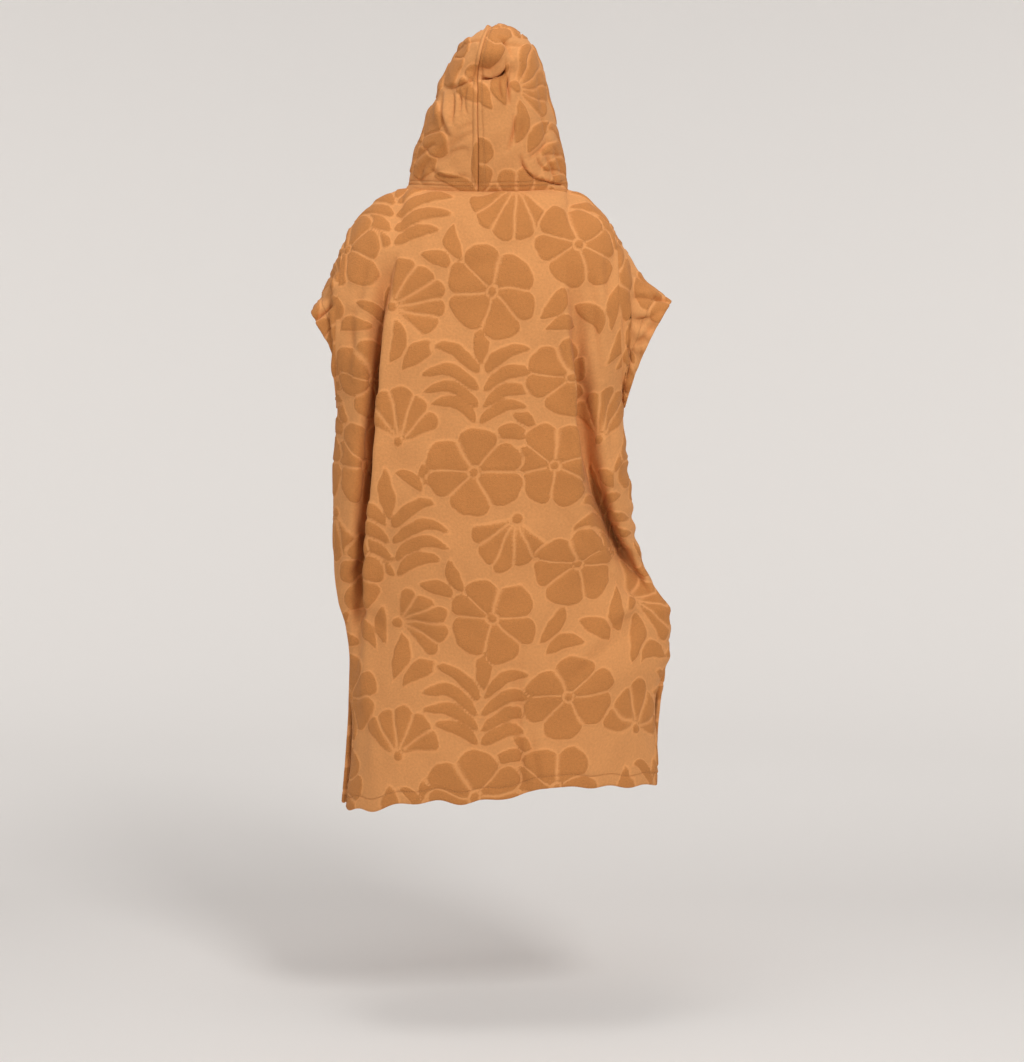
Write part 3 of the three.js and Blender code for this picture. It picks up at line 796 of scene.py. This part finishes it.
def stitched(piece, lines):
    """One mesh with all the stitches of a panel. Each line is its points and their normals."""
    sizes = bpy.context.scene.poncho_sizes
    length = sizes.stitch / MM
    form = bmesh.new()
    for points, normals in lines:
        far = np.concatenate([[0], np.cumsum(np.linalg.norm(np.diff(points, axis=0), axis=1))])
        count = int(far[-1] / (length + STITCH["gap"]))
        starts = (np.arange(count) + 0.5) * far[-1] / count - length / 2

        def at(places, values):
            return np.stack([np.interp(places, far, values[:, k]) for k in range(3)], -1)

        head, tail = at(starts + length, points), at(starts, points)
        out = unit(at(starts + length / 2, normals))
        ahead = head - tail
        side = unit(np.cross(out, ahead)) * STITCH["width"]
        middle = (head + tail) / 2 + out * (sizes.cloth / MM / 2 + STITCH["lift"])
        bend = np.sum(at(starts, normals) * at(starts + length, normals), -1)
        boxes = np.stack([ahead, side, out * STITCH["height"], middle], -1)
        for columns in boxes[bend > STITCH_BEND] * MM:
            rows = [[*row] for row in columns] + [[0, 0, 0, 1]]
            bmesh.ops.create_cube(form, size=1, matrix=Matrix(rows))
    mesh = bpy.data.meshes.new(f"{piece.name}_stitches")
    form.to_mesh(mesh)
    form.free()
    mesh.materials.append(thread_material())
    thread = placed(mesh.name, mesh)
    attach(thread, "root")
    return thread


# The hood's creases fade at its top: above z, where the cloth slopes more than slope. In front
# of ahead the cloth there is smoothed. Stitched is the part of the seam's rows with stitches.
CROWN = {"z": 232, "fade": 14, "slope": 0.5, "ahead": -15, "passes": 10, "stitched": 0.93}
SEAM_DENT = {"depth": 0.7, "width": 1.9}  # the groove along a stitched line
PILE_ROOT = 0.3  # part of the pile's height that lies under the panel's own surface


def raised(points, normals, fields, flatness, creases, crumple, name):
    """Moves a panel out by its pile and its lips, and in along its creases and its stitches."""
    mask = pile_mask(fields["outline"], fields["split"])
    pile = bpy.context.scene.poncho_sizes.pile / MM
    dent = SEAM_DENT["depth"] * np.exp(-((fields["seam"] / SEAM_DENT["width"]) ** 2))
    height = pile * (mask - PILE_ROOT) * flatness - dent
    behind = eased((points[..., 1] + 20) / 40)
    if name == "front":
        behind = 1 - behind
    upwards = eased((normals[..., 2] - CROWN["slope"]) / 0.3)
    above = eased((points[..., 2] - CROWN["z"]) / CROWN["fade"])
    behind = behind * (1 - upwards * above)
    folded, slump = creased(CREASES[creases], points)
    s, t = fields["s"], fields["t"]
    loose = rippled(s, t, len(name), 46) + 1.6 * rippled(s, t, len(name) + 7, 120)
    free = eased(flatness * 1.5)
    height = height + (folded * behind + crumple * loose) * free
    moved = points + normals * height[..., None]
    moved[..., 0] += slump[..., 0] * behind * free
    moved[..., 2] += slump[..., 1] * behind * free
    return moved


def extended(points, normals, fields, edges):
    """Turns in the edges of a grid. Each edge has a radius, an angle and a width."""
    for edge, (radius, bend, length) in edges.items():
        swap = edge in ("left", "right")
        flip = edge in ("right", "top")
        work = (points, normals, *(fields[name] for name in sorted(fields)))
        if swap:
            work = [np.swapaxes(grid, 0, 1) for grid in work]
        if flip:
            work = [grid[::-1] for grid in work]
        before = work[0].shape[0]
        new_points, new_normals = turned_in(work[0], work[1], radius, bend, length)
        count = new_points.shape[0] - before
        step = np.linalg.norm(np.diff(new_points[before - 1 :], axis=0), axis=-1)
        far = np.cumsum(step, 0)
        grown = {}
        for name, grid in zip(sorted(fields), work[2:]):
            grown[name] = np.concatenate([grid, np.repeat(grid[-1:], count, 0)])
            if name == ("s" if swap else "t"):
                grown[name][before:] += np.sign(grid[-1] - grid[-2]) * far
            if name == "seam":
                grown[name][before:] = FAR
        work = [new_points, new_normals, *(grown[name] for name in sorted(fields))]
        if flip:
            work = [grid[::-1] for grid in work]
        if swap:
            work = [np.swapaxes(grid, 0, 1) for grid in work]
        points, normals = work[0], work[1]
        fields = dict(zip(sorted(fields), work[2:]))
    return points, normals, fields


BACK_SPACING = 4.5
FRONT_SPACING = 5.2
SLEEVE_SPACING = 2.4
HOOD_SPACING = 2.3
HEM = 20  # from the lower edge to its line of stitches
VENT_HEM = 10
CUFF_HEM = 14
FACE_HEM = 17
NECK_LINES = (7, 14)  # two lines of stitches above the neck seam
HEM_WAVE = {"height": 2.4, "length": 48, "fade": 90}
# Width and length of each panel's cut, in metres.
UPPER_LENGTH = 262  # cloth of a body panel above the chest
SIDE_FADE = 60  # from a body panel's side, how soon its grid lines leave the side's shape
FINE = 1400  # places across a body panel that its grid lines are found from
SLEEVE = {"round": 560, "long": 70, "cuff_turn": 9, "armhole_turn": 3}
HALF_HOOD = {"deep": 250, "high": 330, "top": 0.994, "seam_line": 4.5}
HOOD_TURNED = {"seam": 5, "neck": 5, "crown": 4}


def body_grid(face, spacing):
    """Points of a body panel on lines that keep an even distance on the cloth."""
    edge = 1 - (SEAM_GAP + CLOTH / 2 + TURN) / HALF_WIDTH
    below = HEM_LEVEL - CHEST
    rows_up = np.linspace(0.002, UPPER_SHARE, int(UPPER_LENGTH / spacing))[:-1]
    rows_down = share_at(CHEST - spaced(-below - FOLDED, spacing, [-below - HEM]))
    v = np.concatenate([rows_up, rows_down])[:, None]
    fine = np.linspace(-edge, edge, FINE)[None, :]
    trial = body_place(face, fine + 0 * v, v + 0 * fine)
    far = along(trial, 1)
    width = far[:, -1:]
    lines = spaced(float(width.mean()), spacing, [VENT_HEM, float(width.mean()) - VENT_HEM])
    half = len(lines) // 2
    near_side = np.exp(-np.minimum(lines, lines[-1] - lines) / SIDE_FADE)
    u = np.empty((len(v), len(lines)))
    for j, total in enumerate(width[:, 0]):
        places = np.concatenate([lines[:half], total - (lines[-1] - lines[half:])])
        places = mix(lines / lines[-1] * total, places, near_side)
        u[j] = np.interp(places, far[j], fine[0])
    v = v + 0 * u
    points = body_place(face, u, v)
    s = along(points, 1)
    centre = np.array([np.interp(0, u[j], s[j]) for j in range(len(u))])[:, None]
    t = along(points, 0)
    chest = int(np.argmin(np.abs(v[:, 0] - UPPER_SHARE)))
    return u, v, points, s - centre, -(t - t[chest])


PIECE_SHIFT = {
    "back": (205, 40),
    "front": (330, 260),
    "left_sleeve": (60, 90),
    "right_sleeve": (250, 470),
    "left_hood": (380, 240),
    "right_hood": (10, 425),
}


def pattern_fields(name, s, t, seam):
    """All fields that the material of a panel reads."""
    shift = PIECE_SHIFT[name]
    outline, split = pile_fields(s + shift[0], t + shift[1])
    return {"s": s, "t": t, "outline": outline, "split": split, "seam": seam}


def build_body(face, spacing):
    """One body panel, with its hem, its vents and its seam allowances."""
    u, v, points, s, t = body_grid(face, spacing)
    facing = 1 if face == "back" else -1
    normals = normals_of(points, facing)
    z = points[..., 2]
    from_hem = (1 - v) / (1 - UPPER_SHARE) * (CHEST - HEM_LEVEL)
    far = along(points, 1)
    from_side = np.minimum(far, far[:, -1:] - far)
    in_vent = eased((VENT_TOP - z) / VENT_FADE)
    seam = np.abs(from_hem - HEM)
    seam = np.minimum(seam, np.abs(from_side - VENT_HEM) + 60 * (1 - in_vent))
    fields = pattern_fields(face, s, t, seam)
    top = along(points, 0)
    flat = eased(np.minimum(from_side, top) / 9) * mix(0.45, 1, eased((from_hem - HEM) / 6))
    points = raised(points, normals, fields, flat, face, 0.8, face)
    wave = HEM_WAVE["height"] * rippled(s, 0 * s, EDGE_SEED, HEM_WAVE["length"])
    points[..., 2] += wave * eased(1 - from_hem / HEM_WAVE["fade"])
    row = int(np.argmin(np.abs(from_hem[:, 0] - HEM)))
    lines = [(points[row], normals[row])]
    for way in (1, -1):
        column = int(np.argmin((np.abs(far[row, ::way] - far[row, ::way][0]) - VENT_HEM) ** 2))
        column = column if way > 0 else len(far[row]) - 1 - column
        held = (z[:, column] < VENT_TOP) & (from_hem[:, 0] > HEM)
        lines.append((points[held, column], normals[held, column]))
    side_bend = mix(QUARTER, math.pi, in_vent)
    edges = {
        "left": (TURN, side_bend[:, -1], ALLOWANCE),
        "right": (TURN, side_bend[:, 0], ALLOWANCE),
    }
    points, normals, fields = extended(points, normals, fields, edges)
    edges = {"bottom": (FOLDED, math.pi, HEM), "top": (TURN, QUARTER, ALLOWANCE)}
    points, normals, fields = extended(points, normals, fields, edges)
    piece = grid_sheet(f"{face}_panel", points, fields, facing)
    finish_cloth(piece, face, lines)


def tube_normals(points, facing):
    """Normals of a grid whose last column is its first one again."""
    ends = np.concatenate([points[:, -2:-1], points, points[:, 1:2]], 1)
    normals = normals_of(ends, facing)[:, 1:-1]
    normals[:, -1] = normals[:, 0]
    return normals


def build_sleeve(side):
    """One short sleeve, a tube from the armhole to its turned cuff."""
    name = f"{side}_sleeve"
    facing = 1 if side == "left" else -1
    long = SLEEVE["long"]
    turns = np.linspace(0, 1, int(SLEEVE["round"] / SLEEVE_SPACING) + 1)
    alongs = spaced(long, SLEEVE_SPACING, [long - CUFF_HEM]) / long
    turn, part = np.meshgrid(turns, alongs)
    points = sleeve_place(side, turn % 1, part)
    points[:, -1] = points[:, 0]
    normals = tube_normals(points, facing)
    wave = rippled(along(points, 1), 0 * turn, facing + 2, CUFF_WAVE["length"])
    loose = eased(1.6 * part - 0.6) * eased(4 * np.minimum(turn, 1 - turn))
    points = points + normals * (CUFF_WAVE["height"] * wave * loose)[..., None]
    normals = tube_normals(points, facing)
    s, t = along(points, 1), along(points, 0)
    from_cuff = t[-1:] - t
    stitches = int(np.argmin(np.abs(alongs * long - long + CUFF_HEM)))
    seam = np.abs(t - t[stitches])
    fields = pattern_fields(name, s, -t, seam)
    flat = eased(t / 8) * eased((from_cuff + 6) / 10)
    points = raised(points, normals, fields, flat, name, 1.0, name)
    for grid in (points, normals, *fields.values()):
        if grid is not fields["s"]:
            grid[:, -1] = grid[:, 0]
    clear = slice(FOOT_CLEAR, -FOOT_CLEAR)
    lines = [(points[stitches, clear], normals[stitches, clear])]
    edges = {
        "bottom": (FOLDED, math.pi, SLEEVE["cuff_turn"]),
        "top": (TURN, 0.0, SLEEVE["armhole_turn"]),
    }
    points, normals, fields = extended(points, normals, fields, edges)
    piece = grid_sheet(f"{side}_short_sleeve", points, fields, facing, closed=True)
    finish_cloth(piece, name, lines)


def settled(mesh):
    """Smooths the front of the crown, where the rows of points crowd together."""
    form = bmesh.new()
    form.from_mesh(mesh)
    low, ahead = CROWN["z"] + CROWN["fade"], CROWN["ahead"]
    crown = [v for v in form.verts if v.co.z > low * MM and v.co.y < ahead * MM]
    for _ in range(CROWN["passes"]):
        bmesh.ops.smooth_vert(
            form, verts=crown, factor=0.5, use_axis_x=True, use_axis_y=True, use_axis_z=True
        )
    form.to_mesh(mesh)
    form.free()


def build_hood(side):
    """Half of the hood, from the middle seam to the hem of the face edge."""
    name = f"{side}_hood"
    sign = 1 if side == "left" else -1
    deep, high, top = (HALF_HOOD[key] for key in ("deep", "high", "top"))
    seam_lines = (HALF_HOOD["seam_line"], deep - FACE_HEM)
    ps = spaced(deep, HOOD_SPACING, seam_lines) / deep
    rows = [int(np.argmin(np.abs(ps - at / deep))) for at in seam_lines]
    qs = top * (spaced(high, HOOD_SPACING, NECK_LINES) / high)
    q, p = np.meshgrid(qs, ps)
    step = 0.01
    first = hood_place(side, step + 0 * qs, qs) - hood_place(side, 0 * qs, qs)
    start = step * (CLOTH / 2 + TURN) / np.linalg.norm(first, axis=-1)
    p = mix(start[None, :], 1, p)
    points = hood_place(side, p, q)
    points[..., 0] += sign * SEAM_GAP / 2
    normals = normals_of(points, sign)
    t = along(points, 1)
    s = along(points, 0) * sign
    columns = [int(np.argmin(np.abs(qs / top - at / high))) for at in NECK_LINES]
    apart = [np.abs(s - s[row]) for row in rows] + [np.abs(t - t[:, [k]]) for k in columns]
    seam = np.minimum.reduce(apart)
    fields = pattern_fields(name, s, t, seam)
    flat = eased(np.minimum(np.minimum(np.abs(s), t), t[:, -1:] - t) / 8)
    points = raised(points, normals, fields, flat, "hood", 1.0, name)
    below = int(points.shape[1] * CROWN["stitched"])
    lines = [(points[row, :below], normals[row, :below]) for row in rows]
    lines += [(points[:, k], normals[:, k]) for k in columns]
    edges = {"bottom": (FOLDED, math.pi, FACE_HEM), "top": (TURN, QUARTER, HOOD_TURNED["seam"])}
    points, normals, fields = extended(points, normals, fields, edges)
    edges = {
        "left": (TURN, QUARTER, HOOD_TURNED["neck"]),
        "right": (TURN, 0.0, HOOD_TURNED["crown"]),
    }
    points, normals, fields = extended(points, normals, fields, edges)
    piece = grid_sheet(f"{side}_hood_half", points, fields, sign)
    settled(piece.data)
    finish_cloth(piece, name, lines)


# Finishes.
def new_nodes(tree):
    """A short way to add a node with some of its settings and inputs."""

    def add(kind, inputs=(), **settings):
        node = tree.nodes.new(kind)
        for name, value in settings.items():
            setattr(node, name, value)
        for socket, value in dict(inputs).items():
            if isinstance(value, bpy.types.NodeSocket):
                tree.links.new(value, node.inputs[socket])
            else:
                node.inputs[socket].default_value = value
        return node

    return add


def blank_material(name):
    """A new material with no nodes, and a way to add them."""
    material = bpy.data.materials.new(name)
    material.use_nodes = True
    material.node_tree.nodes.clear()
    return material, new_nodes(material.node_tree)


def colour_mix(add, share, a, b, blend="MIX"):
    """A node that mixes two colours."""
    inputs = {"Factor": share, 6: a, 7: b}
    node = add("ShaderNodeMix", inputs, data_type="RGBA", blend_type=blend)
    return node.outputs[2]


def terry_material(name, sculpted):
    """The terry of every panel. Its face has raised loops on a shorn ground, its back is plain."""
    known = bpy.data.materials.get(name)
    if known:
        return known
    look = bpy.context.scene.poncho_colours
    material, add = blank_material(name)

    def math_node(operation, a, b=0.0, c=0.0):
        return add("ShaderNodeMath", {0: a, 1: b, 2: c}, operation=operation).outputs[0]

    def attribute(name):
        return add("ShaderNodeAttribute", attribute_name=name).outputs["Fac"]

    def soft_step(value, low, high):
        node = add(
            "ShaderNodeMapRange",
            {"Value": value, "From Min": low, "From Max": high},
            interpolation_type="SMOOTHSTEP",
        )
        return node.outputs["Result"]

    chart = add("ShaderNodeUVMap", uv_map="cloth").outputs["UV"]
    tufts = add("ShaderNodeTexNoise", {"Vector": chart, "Scale": 230.0, "Detail": 3.0})
    loops = add("ShaderNodeTexVoronoi", {"Vector": chart, "Scale": 520.0, "Randomness": 0.75})
    grain = add("ShaderNodeTexNoise", {"Vector": chart, "Scale": 760.0, "Detail": 3.0})
    patch = add("ShaderNodeTexNoise", {"Vector": chart, "Scale": 11.0, "Detail": 4.0})
    seam = soft_step(attribute("seam"), 0.3, 2.4)
    if sculpted:
        gap = math_node("SUBTRACT", math_node("ABSOLUTE", attribute("split")), PETAL_GAP)
        inside = math_node("MINIMUM", attribute("outline"), gap)
        uneven = math_node("MULTIPLY_ADD", tufts.outputs["Fac"], 5.0, -2.5)
        pile = soft_step(math_node("ADD", inside, uneven), -1.9, 1.9)
        # Painted highlight: the ground just outside a motif's edge is made lighter, standing in
        # for the light that the raised pile's rim catches.
        near = soft_step(inside, -6.5, -1.0)
        painted_rim_highlight = math_node("MULTIPLY", near, math_node("SUBTRACT", 1.0, pile))
        base = colour_mix(add, pile, (*look.ground, 1), (*look.pile, 1))
    else:
        pile, painted_rim_highlight = 0.7, 0.0
        base = (*[mix(a, b, pile) for a, b in zip(look.ground, look.pile)], 1)
    shade = math_node("MULTIPLY_ADD", patch.outputs["Fac"], 0.2, 0.9)
    speckle = math_node("MULTIPLY_ADD", pile, 0.5, 0.22)
    centred = math_node("SUBTRACT", grain.outputs["Fac"], 0.5)
    speck = math_node("MULTIPLY_ADD", centred, speckle, 1.0)
    centred = math_node("SUBTRACT", tufts.outputs["Fac"], 0.5)
    speck = math_node("MULTIPLY_ADD", centred, 0.3, speck)
    shade = math_node("MULTIPLY", shade, speck)
    # Painted shade: the colour is darkened by up to 13 percent along the stitched lines, for the
    # shade in their grooves.
    shade = math_node("MULTIPLY", shade, math_node("MULTIPLY_ADD", seam, 0.13, 0.87))
    # The painted highlight along the motifs' edges lightens the colour there by up to 12 percent.
    shade = math_node("MULTIPLY", shade, math_node("MULTIPLY_ADD", painted_rim_highlight, 0.12, 1.0))
    tone = add("ShaderNodeCombineColor", {0: shade, 1: shade, 2: shade}).outputs[0]
    colour = colour_mix(add, 1.0, base, tone, "MULTIPLY")
    depth = math_node("MULTIPLY_ADD", pile, -0.5, -0.12)
    looped = math_node("MULTIPLY", loops.outputs["Distance"], depth)
    height = math_node("MULTIPLY_ADD", pile, 0.9, looped)
    height = math_node("MULTIPLY_ADD", grain.outputs["Fac"], 0.35, height)
    height = math_node("MULTIPLY_ADD", tufts.outputs["Fac"], 0.5, height)
    height = math_node("MULTIPLY_ADD", seam, 0.3, height)
    bump = add(
        "ShaderNodeBump", {"Strength": 0.75, "Distance": 0.0014, "Height": height}
    ).outputs["Normal"]
    shader = add(
        "ShaderNodeBsdfPrincipled",
        {
            "Base Color": colour,
            "Roughness": 0.93,
            "Specular IOR Level": 0.15,
            "Sheen Weight": 0.12,
            "Sheen Roughness": 0.45,
            "Sheen Tint": (1.0, 0.72, 0.45, 1),
            "Normal": bump,
        },
    )
    add("ShaderNodeOutputMaterial", {"Surface": shader.outputs["BSDF"]})
    return material


def thread_material():
    """The matt thread of the stitches, with its twist."""
    known = bpy.data.materials.get("cotton_thread")
    if known:
        return known
    material, add = blank_material("cotton_thread")
    place = add("ShaderNodeTexCoord").outputs["Object"]
    strands = add("ShaderNodeTexNoise", {"Vector": place, "Scale": 900.0, "Detail": 2.0})
    colour = bpy.context.scene.poncho_colours.thread
    light = [min(1, 1.5 * c) for c in colour]
    shade = colour_mix(add, strands.outputs["Fac"], (*colour, 1), (*light, 1))
    bump = add(
        "ShaderNodeBump", {"Strength": 0.6, "Distance": 0.0003, "Height": strands.outputs["Fac"]}
    ).outputs["Normal"]
    shader = add(
        "ShaderNodeBsdfPrincipled",
        {"Base Color": shade, "Roughness": 0.7, "Specular IOR Level": 0.3, "Normal": bump},
    )
    add("ShaderNodeOutputMaterial", {"Surface": shader.outputs["BSDF"]})
    return material


class PonchoColours(bpy.types.PropertyGroup):
    """Colours of the cloth and the stage."""

    ground: FloatVectorProperty(
        name="Ground",
        description="Colour of the shorn ground between the motifs",
        subtype="COLOR",
        size=3,
        min=0,
        max=1,
        default=(0.67, 0.296, 0.104),
    )
    pile: FloatVectorProperty(
        name="Pile",
        description="Colour of the raised pile of the motifs",
        subtype="COLOR",
        size=3,
        min=0,
        max=1,
        default=(0.545, 0.216, 0.063),
    )
    thread: FloatVectorProperty(
        name="Thread",
        description="Colour of the thread of the stitches",
        subtype="COLOR",
        size=3,
        min=0,
        max=1,
        default=(0.5, 0.22, 0.07),
    )
    backdrop: FloatVectorProperty(
        name="Backdrop",
        description="Colour of the floor and the backdrop",
        subtype="COLOR",
        size=3,
        min=0,
        max=1,
        default=(0.84, 0.81, 0.775),
    )


class PonchoSizes(bpy.types.PropertyGroup):
    """Sizes of the cloth and its stitches, and the stage's floor and light."""

    cloth: FloatProperty(
        name="Cloth",
        description="Thickness of one layer of the cloth",
        subtype="DISTANCE",
        unit="LENGTH",
        min=0.0015,
        max=0.0045,
        default=0.003,
    )
    pile: FloatProperty(
        name="Pile height",
        description="How far the motifs stand up from the ground of the cloth",
        subtype="DISTANCE",
        unit="LENGTH",
        min=0,
        max=0.004,
        default=0.0024,
    )
    stitch: FloatProperty(
        name="Stitch",
        description="Length of one stitch",
        subtype="DISTANCE",
        unit="LENGTH",
        min=0.001,
        max=0.006,
        default=0.0032,
    )
    floor: FloatProperty(
        name="Floor",
        description="Height of the floor under the poncho",
        subtype="DISTANCE",
        unit="LENGTH",
        default=-1.45,
    )
    key: FloatProperty(
        name="Key light", description="Power of the main soft light", unit="POWER", default=72.0
    )


class PONCHO_OT_body(bpy.types.Operator):
    """Builds the back and the front of the poncho"""

    bl_idname = "poncho.body"
    bl_label = "Body Panels"

    def execute(self, context):
        build_body("back", BACK_SPACING)
        build_body("front", FRONT_SPACING)
        return {"FINISHED"}


class PONCHO_OT_sleeves(bpy.types.Operator):
    """Builds the two short sleeves"""

    bl_idname = "poncho.sleeves"
    bl_label = "Sleeves"

    def execute(self, context):
        build_sleeve("left")
        build_sleeve("right")
        return {"FINISHED"}


class PONCHO_OT_hood(bpy.types.Operator):
    """Builds the two halves of the hood"""

    bl_idname = "poncho.hood"
    bl_label = "Hood"

    def execute(self, context):
        build_hood("left")
        build_hood("right")
        return {"FINISHED"}


def area_light(name, place, aim, size, power):
    """A soft square light that faces a point."""
    data = bpy.data.lights.new(name, "AREA")
    data.size = size
    data.energy = power
    light = placed(name, data)
    light.location = place
    light.visible_camera = False
    light.rotation_euler = (Vector(aim) - Vector(place)).to_track_quat("-Z", "Y").to_euler()


FLAT_FLOOR = 3.4  # radius of the flat part of the floor, past which it rises all round
FLOOR_RISE = 0.24
MIDDLE = (0, 0, -0.5)
# Name, place, aim, size and share of the key light's power.
LIGHTS = [
    ("key", (-1.25, 3.1, 2.0), MIDDLE, 0.9, 1),
    ("fill", (2.4, 2.6, 0.6), MIDDLE, 2.2, 0.12),
    ("top", (0.2, 0.6, 2.6), MIDDLE, 1.2, 0.35),
    ("backdrop_light", (-2.4, -1.2, 2.4), (-2.4, -7, 2.1), 3, 0.86),
    ("backdrop_light", (2.4, -1.2, 2.4), (2.4, -7, 2.1), 3, 0.86),
]
CAMERA = {"place": (-0.043, 4.0, -0.35), "aim": (-0.043, 0, -0.586), "lens": 78.4}


class PONCHO_OT_stage(bpy.types.Operator):
    """Builds the floor, the lights and the camera"""

    bl_idname = "poncho.stage"
    bl_label = "Stage"

    def execute(self, context):
        sizes = context.scene.poncho_sizes
        form = bmesh.new()
        bmesh.ops.create_grid(form, x_segments=96, y_segments=96, size=9)
        for vert in form.verts:
            beyond = max(0.0, vert.co.xy.length - FLAT_FLOOR)
            vert.co.z = sizes.floor + beyond**2 * FLOOR_RISE
        mesh = bpy.data.meshes.new("floor")
        form.to_mesh(mesh)
        form.free()
        mesh.polygons.foreach_set("use_smooth", np.ones(len(mesh.polygons), bool))
        floor = placed("floor", mesh)
        material = bpy.data.materials.new("backdrop")
        material.use_nodes = True
        shader = material.node_tree.nodes["Principled BSDF"]
        shader.inputs["Base Color"].default_value = (*context.scene.poncho_colours.backdrop, 1)
        shader.inputs["Roughness"].default_value = 0.9
        mesh.materials.append(material)

        for name, place, aim, size, share in LIGHTS:
            area_light(name, place, aim, size, sizes.key * share)
        world = bpy.data.worlds.new("studio")
        context.scene.world = world
        world.use_nodes = True
        sky = world.node_tree.nodes["Background"]
        sky.inputs["Color"].default_value = (0.97, 0.97, 1, 1)
        sky.inputs["Strength"].default_value = 0.52

        data = bpy.data.cameras.new("camera")
        data.lens = CAMERA["lens"]
        data.sensor_width = 36
        data.clip_end = 60
        camera = placed("camera", data)
        camera.location = CAMERA["place"]
        way = Vector(CAMERA["aim"]) - camera.location
        camera.rotation_euler = way.to_track_quat("-Z", "Y").to_euler()
        context.scene.camera = camera
        context.scene.view_settings.view_transform = "Standard"
        return {"FINISHED"}


class PONCHO_PT_panel(bpy.types.Panel):
    """Lists the pieces of the poncho and what a user may change"""

    bl_idname = "PONCHO_PT_panel"
    bl_label = "Hooded Bath Poncho"
    bl_space_type = "VIEW_3D"
    bl_region_type = "UI"
    bl_category = "Poncho"

    def draw(self, context):
        layout = self.layout
        for group in (context.scene.poncho_colours, context.scene.poncho_sizes):
            for name in group.__annotations__:
                layout.prop(group, name)
        for operator in OPERATORS:
            layout.operator(operator.bl_idname)


OPERATORS = (PONCHO_OT_body, PONCHO_OT_sleeves, PONCHO_OT_hood, PONCHO_OT_stage)
CLASSES = (PonchoColours, PonchoSizes, *OPERATORS, PONCHO_PT_panel)


def register():
    """Registers the classes and their properties."""
    for one in CLASSES:
        bpy.utils.register_class(one)
    bpy.types.Scene.poncho_colours = PointerProperty(type=PonchoColours)
    bpy.types.Scene.poncho_sizes = PointerProperty(type=PonchoSizes)


def unregister():
    """Takes the classes and their properties away again."""
    del bpy.types.Scene.poncho_sizes
    del bpy.types.Scene.poncho_colours
    for one in reversed(CLASSES):
        bpy.utils.unregister_class(one)


def main():
    """Builds every piece in order."""
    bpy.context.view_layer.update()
    register()
    bpy.ops.poncho.body()
    bpy.ops.poncho.sleeves()
    bpy.ops.poncho.hood()
    bpy.ops.poncho.stage()


if __name__ == "__main__":
    main()
